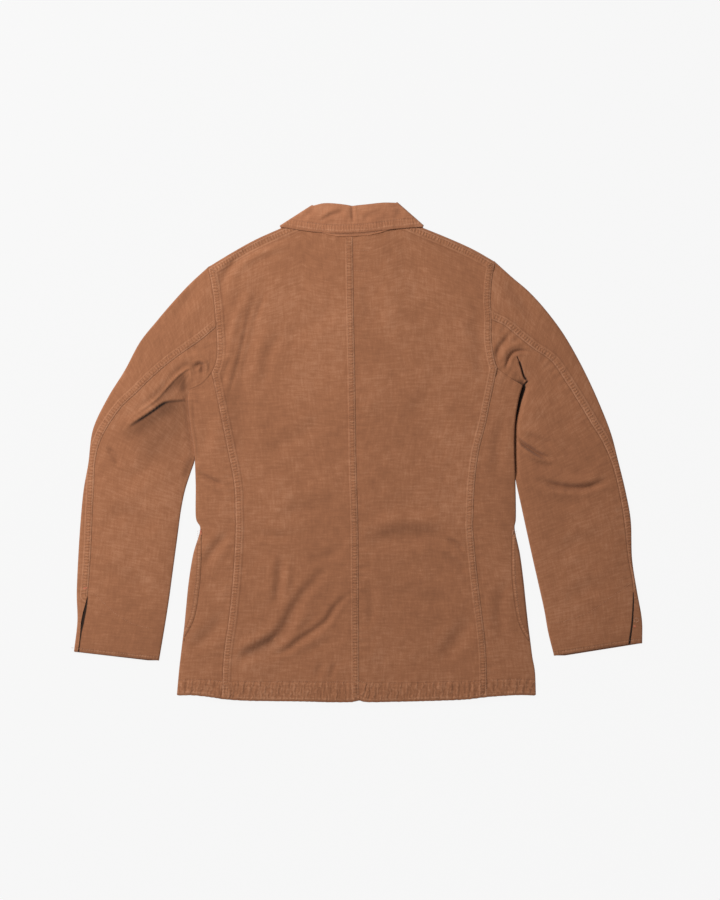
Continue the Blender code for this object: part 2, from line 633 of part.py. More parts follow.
# --- collar ---
class CollarBand:
    """A band round the neck, from one front end over the side fold and across the back to the other end."""

    def __init__(self, backs, fronts, outwards, rows, out=0.0, tuck=0.0):
        self.inner_back, self.outer_back = backs
        self.inner_front, self.outer_front = fronts
        self.outwards = outwards
        self.rows = rows
        self.out = out      # how far it lies out from the panels
        self.tuck = tuck    # how far its outer line stays inside the fold of the leaf
        self.back = len(self.inner_back["left"]) - 1
        self.front = len(self.inner_front["left"])
        self.half = self.back + ROLL + self.front
        self.columns = 2 * self.half

    def outward(self, side, share):
        first, last = (np.array(way) * (OUTWARD[side], 1.0) for way in self.outwards)
        return unit(mix(first, last, share))

    def corner(self, side, share):
        """The edge of the side fold, at a share of the way from the band's inner line to its outer line."""
        inner, outer = np.array(self.inner_back[side][-1]), np.array(self.outer_back[side][-1])
        return mix(inner, outer, share) - self.outward(side, share) * self.tuck * share

    def limits(self, side, share):
        edge = self.corner(side, share)
        return lower_height(side, edge) - self.out, upper_height(edge) + self.out

    def turn(self, side, share):
        low, high = self.limits(side, share)
        return self.corner(side, share) - self.outward(side, share) * ((high - low) / 2 + CLOTH / 2)

    def place(self, i, j):
        side = "left" if i < self.half else "right"
        step = abs(i - self.half)
        share = seam_inset(j, self.rows, EDGE_CELL) / self.rows
        if step < self.back:
            plan = mix(Line(self.inner_back[side])(step), Line(self.outer_back[side])(step), share)
            return on_upper(plan, self.out)
        if step < self.back + ROLL:
            low, high = self.limits(side, share)
            angle = math.pi * (step - self.back) / ROLL
            radius = (high - low) / 2
            plan = self.turn(side, share) + self.outward(side, share) * radius * math.sin(angle)
            return np.array((plan[0], plan[1], (low + high) / 2 + radius * math.cos(angle)))
        turn = self.turn(side, share)
        inner = Line([self.turn(side, 0.0)] + self.inner_front[side])
        outer = Line([self.turn(side, 1.0)] + self.outer_front[side])
        place = step - self.back - ROLL
        plan = mix(inner(place), outer(place), share) if place else turn
        return on_floor(plan) if self.out else on_lower(side, plan)


def stand_band():
    """From the neck seam up to the roll line."""
    neck_back = {side: BACK_NECK[side] + SHOULDER_LINE[side][:1] for side in SIDES}
    return CollarBand((neck_back, ROLL_LINE_BACK), (FRONT_NECKLINE, ROLL_LINE_FRONT),
                      (NECK_OUTWARD, ROLL_OUTWARD), rows=2, tuck=STEP)


def leaf_band():
    """From the roll line down over the stand, the back and the fronts."""
    return CollarBand((ROLL_LINE_BACK, OUTER_EDGE_BACK), (ROLL_LINE_FRONT, OUTER_EDGE_FRONT),
                      (ROLL_OUTWARD, EDGE_OUTWARD), rows=3, out=STEP)


# --- making the objects ---
def clear_scene():
    for obj in list(bpy.data.objects):
        bpy.data.objects.remove(obj, do_unlink=True)


def principled(name, colour, roughness):
    material = bpy.data.materials.new(name)
    material.use_nodes = True
    shader = material.node_tree.nodes["Principled BSDF"]
    shader.inputs["Base Color"].default_value = (*colour, 1.0)
    shader.inputs["Roughness"].default_value = roughness
    shader.inputs["Metallic"].default_value = 0.0
    return material


def collection_named(name):
    found = bpy.data.collections.new(name)
    bpy.context.scene.collection.children.link(found)
    return found


def add_cloth(collection, name, colour, columns, rows, place, keep=None):
    """A grid of cells moved to the places of a piece of cloth, and given its thickness."""
    cells = bmesh.new()
    bmesh.ops.create_grid(cells, x_segments=columns, y_segments=rows, size=0.5)
    index = {}
    for vertex in cells.verts:
        index[vertex] = (round((vertex.co.x + 0.5) * columns), round((vertex.co.y + 0.5) * rows))
    if keep:
        missing = [f for f in cells.faces if not keep(*map(min, zip(*(index[v] for v in f.verts))))]
        bmesh.ops.delete(cells, geom=missing, context="FACES")
    for vertex in cells.verts:
        vertex.co = place(*index[vertex])
    mesh = bpy.data.meshes.new(name)
    cells.to_mesh(mesh)
    cells.free()
    piece = bpy.data.objects.new(name, mesh)
    collection.objects.link(piece)
    mesh.materials.append(principled(name, colour, 0.85))
    mesh.shade_smooth()
    wall = piece.modifiers.new("wall", "SOLIDIFY")
    wall.thickness = CLOTH
    wall.offset = 0.0
    wall.use_even_offset = True
    return piece


def add_button(collection, number):
    """A turned button: a flat disc with a raised rim, face down on the floor."""
    dish = 0.0008
    face = -BUTTON_THICKNESS
    profile = [(0.0, 0.0), (0.88, 0.0), (1.0, -dish), (1.0, face + dish), (0.92, face), (0.78, face),
               (0.66, face + dish), (0.0, face + dish)]    # (share of the radius, depth below its back)
    mesh = bpy.data.meshes.new("button")
    points = [(share * BUTTON_RADIUS, 0.0, BUTTON_THICKNESS + depth) for share, depth in profile]
    mesh.from_pydata(points, [(k, k + 1) for k in range(len(points) - 1)], [])
    button = bpy.data.objects.new(f"button_{number}", mesh)
    collection.objects.link(button)
    button.location = (CENTRE_FRONT, TOP_BUTTON - (number - 1) * BUTTON_PITCH, 0.0)
    mesh.materials.append(principled(f"button_{number}", HORN, 0.35))
    turned = button.modifiers.new("turned", "SCREW")
    turned.steps = turned.render_steps = BUTTON_STEPS
    turned.use_merge_vertices = True
    turned.merge_threshold = 0.00005
    turned.use_normal_calculate = True


def build_body(collection):
    for side in SIDES:
        add_cloth(collection, f"back_{side}", CANVAS, *back_panel(side))
        for kind, panel, shade in (("front", Front(side), CANVAS), ("pocket", Pocket(side), CANVAS_SHADE)):
            name = f"{kind}_{side}"
            add_cloth(collection, name, shade, panel.columns, panel.rows, panel.place, panel.keep)


def build_sleeves(collection):
    for side in SIDES:
        for kind, panel in (("top_sleeve", TopSleeve(side)), ("under_sleeve", UnderSleeve(side))):
            name = f"{kind}_{side}"
            add_cloth(collection, name, CANVAS, panel.columns, panel.rows, panel.place, panel.keep)


def build_collar(collection):
    for name, band in (("collar_stand", stand_band()), ("collar", leaf_band())):
        add_cloth(collection, name, CANVAS_SHADE, band.columns, band.rows, band.place)


def main():
    clear_scene()
    jacket = collection_named("chore_jacket")
    build_body(jacket)
    build_sleeves(jacket)
    build_collar(jacket)
    for number in range(1, BUTTON_COUNT + 1):
        add_button(jacket, number)


main()
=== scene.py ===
# %% [markdown]
# # A chore jacket of brown canvas, laid flat
#
# The jacket lies on its front, with its back up and its sleeves beside it. Laid cloth is two layers that
# turn into each other at folds, so every panel below is a grid of points: first its place seen from above,
# then its height. The heights carry what the eye reads as cloth: felled seams, puckers, creases and soft
# folds. X runs to the right, Y from hem to collar and Z up. Sizes are in metres, and tables of points in
# millimetres.

# %% The fixed frame
import math
from collections import namedtuple

import bpy
import numpy as np
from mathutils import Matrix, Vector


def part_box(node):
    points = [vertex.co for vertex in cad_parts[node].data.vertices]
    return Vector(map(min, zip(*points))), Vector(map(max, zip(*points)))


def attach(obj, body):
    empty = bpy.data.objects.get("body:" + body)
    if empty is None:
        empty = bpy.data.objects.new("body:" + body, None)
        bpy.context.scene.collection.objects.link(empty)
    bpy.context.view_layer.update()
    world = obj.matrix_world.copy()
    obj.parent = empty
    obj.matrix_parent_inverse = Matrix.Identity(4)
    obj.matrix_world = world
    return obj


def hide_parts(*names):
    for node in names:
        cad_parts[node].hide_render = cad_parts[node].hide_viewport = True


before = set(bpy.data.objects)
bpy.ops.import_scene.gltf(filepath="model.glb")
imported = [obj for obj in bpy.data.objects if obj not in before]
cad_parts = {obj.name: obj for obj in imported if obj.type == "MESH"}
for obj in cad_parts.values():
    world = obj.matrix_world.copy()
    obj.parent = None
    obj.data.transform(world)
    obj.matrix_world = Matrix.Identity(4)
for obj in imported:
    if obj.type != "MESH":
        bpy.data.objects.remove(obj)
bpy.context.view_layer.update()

MM = 0.001
SIDES = ("left", "right")
OUTWARD = {"left": -1.0, "right": 1.0}

# %% [markdown]
# ## Cloth and heights
# Canvas is about 1 mm thick. The fronts lie on the floor, and the back lies a few millimetres above them.
# Two layers that only lay flat would look like card, so the upper one also swells a little away from every
# folded edge, as washed cotton does when nobody presses it.

# %% Sizes of the cloth
CANVAS_THICK = 1.0 * MM
CLOTH = 1.2 * MM               # what the frame counts for one layer
PLY = 1.25 * MM                # from one layer to a hem or facing folded against it, middle to middle
LOWER = 0.6 * MM               # the layer on the floor
UPPER = 5.2 * MM               # the layer above it, at the folds
CROWN, CROWN_X, CROWN_WIDTH = 3.0 * MM, 8 * MM, 45 * MM     # the back over the overlapping fronts
SWELL, SWELL_REACH = 3.4 * MM, 15 * MM                      # the soft rise inside a folded edge
FELL_WIDTH, FELL_RISE = 10.4 * MM, 0.7 * MM          # a felled seam: its strip and how proud it stands
UNDERLAP, UNDERLAP_DROP = 2.5 * MM, 0.3 * MM         # how far the other panel runs on under it, and how low
HEM_DEPTH = 20.5 * MM
CENTRE_FRONT, OVERLAP = -7 * MM, 20 * MM
FRONT_HEM, FRONT_NECK = -368 * MM, 262 * MM

# %% Small helpers
def mix(a, b, share):
    return a + (b - a) * share


def ease(share):
    share = np.clip(share, 0.0, 1.0)
    return share * share * (3 - 2 * share)


def fading(value, start, width):
    """1 up to the start, and smoothly down to 0 over the width past it."""
    return 1 - ease((value - start) / width)


def hump(distance, width):
    """1 where the distance is 0, falling off to either side."""
    return np.exp(-(distance / width) ** 2)


def unit(ways):
    ways = np.asarray(ways, float)
    return ways / np.linalg.norm(ways, axis=-1, keepdims=True)


def vectors(*values):
    """One vector for each place, out of arrays and single numbers."""
    return np.stack(np.broadcast_arrays(*values), -1)


def lift(plan, z):
    """Places seen from above, with their heights."""
    return np.concatenate([plan, z[..., None]], -1)


def both(make):
    return {side: make(side) for side in SIDES}


def each(facts, change):
    """The same change made to every fact of a piece."""
    return {fact: change(values) for fact, values in facts.items()}


def new_object(name, data):
    made = bpy.data.objects.new(name, data)
    bpy.context.scene.collection.objects.link(made)
    return made


print("layers", LOWER / MM, "and", UPPER / MM, "mm above the floor")


# %% [markdown]
# ## Smooth lines
# Edges and seams are short tables of points. A Catmull-Rom curve passes through every point, so a seam can
# be read at any place and two panels that share it meet exactly. Blender's own curves would do, but reading
# them in numpy gives a whole panel in one call.

# %% Lines through points
class Smooth:
    """A smooth line: line(0) is the first point, line(2.5) lies half-way from the third to the fourth."""

    def __init__(self, points):
        self.points = np.array(points, float)
        self.last = len(self.points) - 1

    def __call__(self, place):
        place = np.clip(np.asarray(place, float), 0, self.last)
        k = np.minimum(place.astype(int), self.last - 1)
        u = (place - k)[..., None]
        first, final = 2 * self.points[0] - self.points[1], 2 * self.points[-1] - self.points[-2]
        padded = np.vstack([first, self.points, final])
        a, b, c, d = (padded[k + n] for n in range(4))
        return b + u * ((c - a) + u * ((2 * a - 5 * b + 4 * c - d) + u * (3 * (b - c) + d - a))) / 2


class Chain:
    """Several lines end to end, read like one. Each part is (line, from place, to place)."""

    def __init__(self, *parts):
        self.parts = parts
        self.starts = np.cumsum([0] + [abs(end - start) for _, start, end in parts])
        self.last = self.starts[-1]

    def __call__(self, place):
        place = np.clip(np.asarray(place, float), 0, self.last)
        found = np.zeros(place.shape + (2,))
        for (line, start, end), low, high in zip(self.parts, self.starts, self.starts[1:]):
            here = (place >= low) & (place <= high)
            found[here] = line(start + np.sign(end - start) * (place[here] - low))
        return found


def bow(line, place):
    """How far a line stands from the straight run between its ends."""
    share = (np.asarray(place, float) / line.last)[..., None]
    return line(place) - mix(line(0.0), line(line.last), share)


def even_places(line, step):
    """Places on a line that lie about step apart."""
    fine = np.linspace(0, line.last, int(40 * line.last) + 1)
    runs = np.linalg.norm(np.diff(line(fine), axis=0), axis=1)
    length = np.concatenate([[0.0], np.cumsum(runs)])
    count = max(round(length[-1] / step), 2)
    return np.interp(np.linspace(0, length[-1], count + 1), length, fine)


def graded(count, bias=0.5):
    """Shares from 0 to 1 that lie closer together at both ends, where the seams are."""
    even = np.linspace(0, 1, count + 1)
    return even - bias * np.sin(2 * np.pi * even) / (2 * np.pi)


class Path:
    """A run of points that tells how far any place is from it, and how far along it the nearest point is."""

    def __init__(self, points):
        self.points = np.array(points, float)
        runs = np.linalg.norm(np.diff(self.points, axis=0), axis=1)
        self.starts = np.concatenate([[0.0], np.cumsum(runs)])
        self.length = self.starts[-1]

    def near(self, x, y, reach):
        """(distance, along, side): the distance is infinite past reach, and side is 1 on the left."""
        flat = np.stack([np.ravel(x), np.ravel(y)], 1)
        distance, along, side = np.full(len(flat), np.inf), np.zeros(len(flat)), np.ones(len(flat))
        low, high = self.points.min(0) - reach, self.points.max(0) + reach
        close = np.flatnonzero(((flat >= low) & (flat <= high)).all(1))
        places = flat[close]
        best, at, left = np.full(len(close), np.inf), np.zeros(len(close)), np.ones(len(close))
        for a, b, start in zip(self.points, self.points[1:], self.starts):
            run = b - a
            length = np.linalg.norm(run)
            gone = places - a
            share = np.clip(gone @ run / length ** 2, 0, 1)
            apart = gone - share[:, None] * run
            gap = np.hypot(apart[:, 0], apart[:, 1])
            nearer = gap < best
            best[nearer] = gap[nearer]
            at[nearer] = start + share[nearer] * length
            left[nearer] = np.sign(run[0] * gone[nearer, 1] - run[1] * gone[nearer, 0])
        distance[close], along[close], side[close] = best, at, left
        shape = np.shape(x)
        return distance.reshape(shape), along.reshape(shape), side.reshape(shape)


def path_of(line, step=5 * MM):
    return Path(line(even_places(line, step)))


# %% [markdown]
# ## The outline and the seams
# A maker would lay the jacket on paper and draw round it. These tables do that: the body row by row from
# hem to underarm, the armholes, shoulders, neck and collar, and the sleeves row by row from armhole to
# cuff.

# %% Tables of the body
BodyRow = namedtuple("BodyRow", "y left_fold left_seam centre right_seam right_fold")
BODY_ROWS = [BodyRow(*(v * MM for v in row)) for row in [
    (-369, -275.2, -206.4, 1.5, 195.5, 270.3),
    (-335, -272.2, -205.2, 1.5, 195.5, 269.0),
    (-312, -269.6, -203.8, 1.5, 194.7, 265.0),
    (-287, -266.6, -200.9, 1.4, 193.0, 261.8),
    (-262, -263.6, -197.0, 1.2, 190.2, 258.6),
    (-232, -260.8, -193.5, 1.0, 186.4, 255.3),
    (-195, -256.9, -190.0, 0.9, 182.0, 251.4),
    (-155, -250.2, -187.3, 0.8, 177.9, 246.0),
    (-118, -239.8, -185.7, 0.4, 174.7, 238.2),
    (-100, -246.4, -185.9, 0.0, 174.8, 240.0),
    (-50, -246.7, -187.9, -1.5, 177.1, 239.4),
    (0, -249.0, -197.3, -2.9, 183.5, 237.8),
    (42, -255.0, -205.8, -3.3, 194.0, 238.6),
    (78, -258.6, -213.2, -3.9, 201.3, 244.0),
]]
POCKET_ROW, POCKET_LAST_ROW = 8, 3      # rows at the pocket's top edge and where it leaves the fold
UNDERARM_ROW = len(BODY_ROWS)
CENTRE_BACK = [(-4.6, 124), (-5.3, 157), (-6.0, 191), (-6.6, 225), (-7.1, 259), (-7.5, 293), (-7.9, 327.4)]
ARMHOLE = {
    "left": [(-227.8, 280.1), (-221.8, 251.0), (-217.8, 220.0), (-215.3, 188.3), (-213.8, 165.0),
             (-214.8, 140.0), (-222.1, 120.4), (-236.6, 103.2), (-254.2, 94.6)],
    "right": [(208.4, 288.0), (203.2, 258.0), (201.5, 229.0), (203.1, 200.0), (202.4, 176.0), (205.2, 151.0),
              (211.5, 127.6), (229.0, 113.2), (247.8, 101.8)],
}
SLEEVE_SEAM, SIDE_SEAM = 3, 6           # where the sleeve's back seam and the side-back seam meet the armhole
SHOULDER_LINE = {
    "left": [(-85.0, 353.0), (-123.3, 336.5), (-156.3, 321.6), (-189.2, 303.5)],
    "right": [(70.0, 352.0), (98.3, 340.0), (134.0, 325.5), (174.3, 307.5)],
}
BACK_NECK = {
    "left": [(-7.9, 327.4), (-35.0, 328.2), (-63.0, 337.0)],
    "right": [(-7.9, 327.4), (20.0, 330.0), (48.0, 338.5)],
}
FRONT_NECKLINE = {
    "left": [(-82.0, 325.0), (-68.0, 295.0), (-42.0, 272.0), (-10.0, 262.0)],
    "right": [(67.0, 325.0), (54.0, 295.0), (29.0, 272.0), (-4.0, 262.0)],
}

# %% Tables of the collar and the sleeves
ROLL_LINE_BACK = {
    "left": [(-8.5, 371.9), (-30.0, 375.4), (-52.0, 376.8), (-70.6, 374.2)],
    "right": [(-8.5, 371.9), (15.0, 374.6), (39.0, 377.6), (60.4, 378.4)],
}
ROLL_LINE_FRONT = {
    "left": [(-70.0, 345.0), (-55.0, 313.0), (-33.0, 291.0), (-10.0, 281.0)],
    "right": [(59.0, 345.0), (44.0, 313.0), (20.0, 291.0), (-4.0, 281.0)],
}
OUTER_EDGE_BACK = {
    "left": [(-8.5, 332.1), (-44.7, 332.4), (-81.0, 336.5), (-118.5, 343.5)],
    "right": [(-8.5, 332.1), (20.0, 334.2), (55.8, 339.3), (99.5, 344.0)],
}
OUTER_EDGE_FRONT = {
    "left": [(-114.0, 315.0), (-107.0, 288.0), (-98.0, 262.0), (-88.0, 238.0)],
    "right": [(99.0, 315.0), (92.0, 288.0), (83.0, 262.0), (73.0, 238.0)],
}
# Ways outwards at the collar's folds, for the right side: at the neck point, the roll line and the outer
# edge.
NECK_OUTWARD, ROLL_OUTWARD, EDGE_OUTWARD = (0.43, 0.90), (0.85, 0.52), (0.57, 0.82)

SLEEVE_ROWS = {    # outer edge, back seam and inner edge, each as x and y
    "left": [
        (-227.8, 280.1, -215.3, 188.3, -222.1, 120.4), (-255.6, 254.6, -238.0, 169.4, -236.6, 103.2),
        (-281.5, 226.8, -262.0, 152.5, -256.0, 93.0), (-305.5, 198.6, -286.0, 135.0, -253.0, 66.0),
        (-331.5, 165.9, -311.0, 113.5, -250.0, 38.0), (-354.6, 123.0, -336.0, 88.9, -246.5, 10.0),
        (-380.0, 82.0, -361.0, 64.5, -247.6, -12.0), (-402.6, 34.0, -386.5, 25.5, -254.4, -33.0),
        (-409.8, -18.0, -398.0, -10.0, -262.8, -60.0), (-416.9, -58.0, -400.8, -55.0, -268.8, -90.0),
        (-421.5, -105.0, -403.2, -105.0, -274.3, -131.0), (-425.1, -160.0, -405.8, -160.0, -281.2, -182.0),
        (-427.4, -215.0, -410.4, -217.8, -287.4, -228.0), (-426.4, -258.0, -418.5, -260.0, -294.2, -271.0),
        (-431.6, -303.2, -424.5, -303.6, -302.0, -316.8),
    ],
    "right": [
        (208.4, 288.0, 203.1, 200.0, 211.5, 127.6), (234.0, 265.0, 222.5, 190.8, 229.0, 113.2),
        (259.0, 243.6, 243.6, 173.6, 249.0, 99.0), (284.0, 216.5, 267.0, 155.2, 241.6, 74.0),
        (310.0, 182.0, 293.0, 137.2, 235.2, 48.0), (331.6, 145.8, 312.6, 109.6, 233.8, 22.0),
        (351.4, 107.0, 334.0, 75.5, 233.4, 0.0), (368.8, 68.0, 354.0, 42.0, 235.6, -24.0),
        (384.6, 27.0, 371.2, 14.4, 240.6, -50.0), (395.8, -16.0, 386.5, -21.5, 247.8, -83.0),
        (407.2, -63.2, 397.6, -66.0, 255.8, -120.0), (414.6, -106.0, 404.6, -110.0, 264.6, -160.0),
        (416.4, -162.0, 409.8, -158.0, 273.0, -197.0), (423.6, -210.0, 417.8, -207.0, 282.6, -240.0),
        (431.4, -255.0, 417.0, -252.0, 288.6, -274.0), (432.0, -290.5, 412.4, -291.0, 297.5, -309.6),
    ],
}
VENT_ROWS = {"left": 2.0, "right": 1.9}     # the back seam stays open over the last rows, as the cuff's vent
CAP_ROWS, ARMHOLE_ROWS = 6, 2
FRONT_SEAM_START, FRONT_SEAM_INSET = 2 * MM, 14 * MM
POCKET_HEIGHT, POCKET_TOP, POCKET_CORNER = 195 * MM, -117 * MM, 75 * MM
POCKET_EDGE = {    # the pocket's edge where it has come round to the back
    "left": [(-237.0, -117), (-237.2, -135), (-237.6, -160), (-239.0, -190), (-241.5, -213), (-246.2, -244),
             (-253.2, -264.5), (-265.5, -286.2)],
    "right": [(234.4, -117), (232.8, -135), (232.3, -160), (233.3, -195), (237.4, -232), (242.4, -257),
              (250.0, -275), (260.6, -290.5)],
}
POCKET_FAR = {"left": -107 * MM, "right": 94 * MM}
print("tables:", len(BODY_ROWS), "body rows,", {side: len(rows) for side, rows in SLEEVE_ROWS.items()})


# %% [markdown]
# ## Folds
# Where the cloth turns from one layer into the other it needs the line of the fold and the way outwards.
# The turn itself is half a circle between the two layers, drawn later with a handful of steps.

# %% Fold lines
EDGE_RADIUS = 2.2 * MM
ROLL_CELLS = 8
ANGLES = np.linspace(0, np.pi, ROLL_CELLS + 1)      # round a turn, from the upper layer to the lower one


def in_metres(points):
    return [np.array(point, float) * MM for point in points]


def half_turn(start, outward, low, high, radius=EDGE_RADIUS):
    """Columns of points round a turn that starts on the upper layer and ends on the lower one."""
    plan = start[:, None] + outward[:, None] * (radius * np.sin(ANGLES))[:, None]
    return lift(plan, ((high + low) / 2)[:, None] + ((high - low) / 2)[:, None] * np.cos(ANGLES))


class FoldLine:
    """The edge of a fold seen from above, and the way outwards at any place of it."""

    def __init__(self, edge, facing, first=None, last=None):
        self.edge = Smooth(edge)
        ways = np.gradient(self.edge.points, axis=0)
        outward = unit(np.stack([ways[:, 1], -ways[:, 0]], 1))
        outward *= np.sign(outward @ np.array(facing))[:, None]
        if first is not None:
            outward[0] = unit(first)
        if last is not None:
            outward[-1] = unit(last)
        self.ways = Smooth(outward)
        self.last = self.edge.last

    def outward(self, place):
        return unit(self.ways(place))

    def turn(self, place, radius=EDGE_RADIUS):
        """Where the flat cloth ends and the turn starts."""
        return self.edge(place) - self.outward(place) * (radius + CLOTH / 2)

    def roll(self, place, low, high, radius=EDGE_RADIUS):
        return half_turn(self.turn(place, radius), self.outward(place), low, high, radius)


# %% The folds of this jacket
def tip_outward(side):
    tip, below = in_metres(ARMHOLE[side][:2])
    return unit(tip - below)


def flat_armhole(side):
    points = in_metres(ARMHOLE[side])
    points[0] = points[0] - tip_outward(side) * (EDGE_RADIUS + CLOTH / 2)
    return Smooth(points)


def shoulder_fold(side):
    edge = in_metres(SHOULDER_LINE[side] + [ARMHOLE[side][0]])
    first = np.array(NECK_OUTWARD) * (OUTWARD[side], 1.0)
    return FoldLine(edge, (0.0, 1.0), first=first, last=tip_outward(side))


def body_fold(side):
    edge = [np.array((getattr(row, side + "_fold"), row.y)) for row in BODY_ROWS]
    before, corner = in_metres(ARMHOLE[side][-2:])
    outward = unit(corner - before)
    edge.append(corner + outward * (EDGE_RADIUS + CLOTH / 2))
    return FoldLine(edge, (OUTWARD[side], 0.0), last=outward)


def side_seam(side):
    points = [(getattr(row, side + "_seam"), row.y) for row in BODY_ROWS]
    return Smooth(points + in_metres(ARMHOLE[side][SIDE_SEAM:SIDE_SEAM + 1]))


def sleeve_line(side, column):
    return in_metres([row[column:column + 2] for row in SLEEVE_ROWS[side]])


def outer_fold(side):
    return FoldLine(sleeve_line(side, 0), (OUTWARD[side], 0.1), first=tip_outward(side))


def inner_fold(side):
    line = sleeve_line(side, 4)[ARMHOLE_ROWS:]
    return FoldLine(line, (-OUTWARD[side], -0.1), first=(-OUTWARD[side], 0.0))


ARM, SHOULDER = both(flat_armhole), both(shoulder_fold)
BODY_FOLD, SIDE_BACK = both(body_fold), both(side_seam)
OUTER, INNER = both(outer_fold), both(inner_fold)
SLEEVE_BACK = both(lambda side: Smooth(sleeve_line(side, 2)))
CENTRE = Smooth([(row.centre, row.y) for row in BODY_ROWS] + in_metres(CENTRE_BACK))
for side in SIDES:
    print(side, "side fold", round(path_of(BODY_FOLD[side].edge).length / MM), "mm, sleeve",
          round(path_of(OUTER[side].edge).length / MM), "mm")

# %% [markdown]
# ## What shapes the upper layer
# One function gives the height of the upper layer at any place. It adds the broad swell, slow unevenness,
# the creases, the felled seams with their puckers, and the hem. Real displacement is used
# instead of a bump texture because these shapes are wide enough to catch the light from the side.

# %% Slow unevenness
def ripple(x, y, size, seed, waves=7):
    """A smooth random surface between about -1 and 1 whose swells are size wide."""
    draw = np.random.default_rng(seed)
    total = np.zeros(np.shape(x))
    for angle, stretch, phase in zip(draw.uniform(0, np.pi, waves), draw.uniform(0.6, 1.6, waves),
                                     draw.uniform(0, 2 * np.pi, waves)):
        turn = 2 * np.pi / (size * stretch)
        total += np.sin((x * np.cos(angle) + y * np.sin(angle)) * turn + phase)
    return total / np.sqrt(waves)


# %% Creases
Crease = namedtuple("Crease", "kind height width ink points")


def creases(rows):
    """kind, height and width in millimetres, the strength of its painted shade, and its line."""
    return [Crease(kind, height * MM, width * MM, ink, Smooth(in_metres(points)))
            for kind, height, width, ink, points in rows]


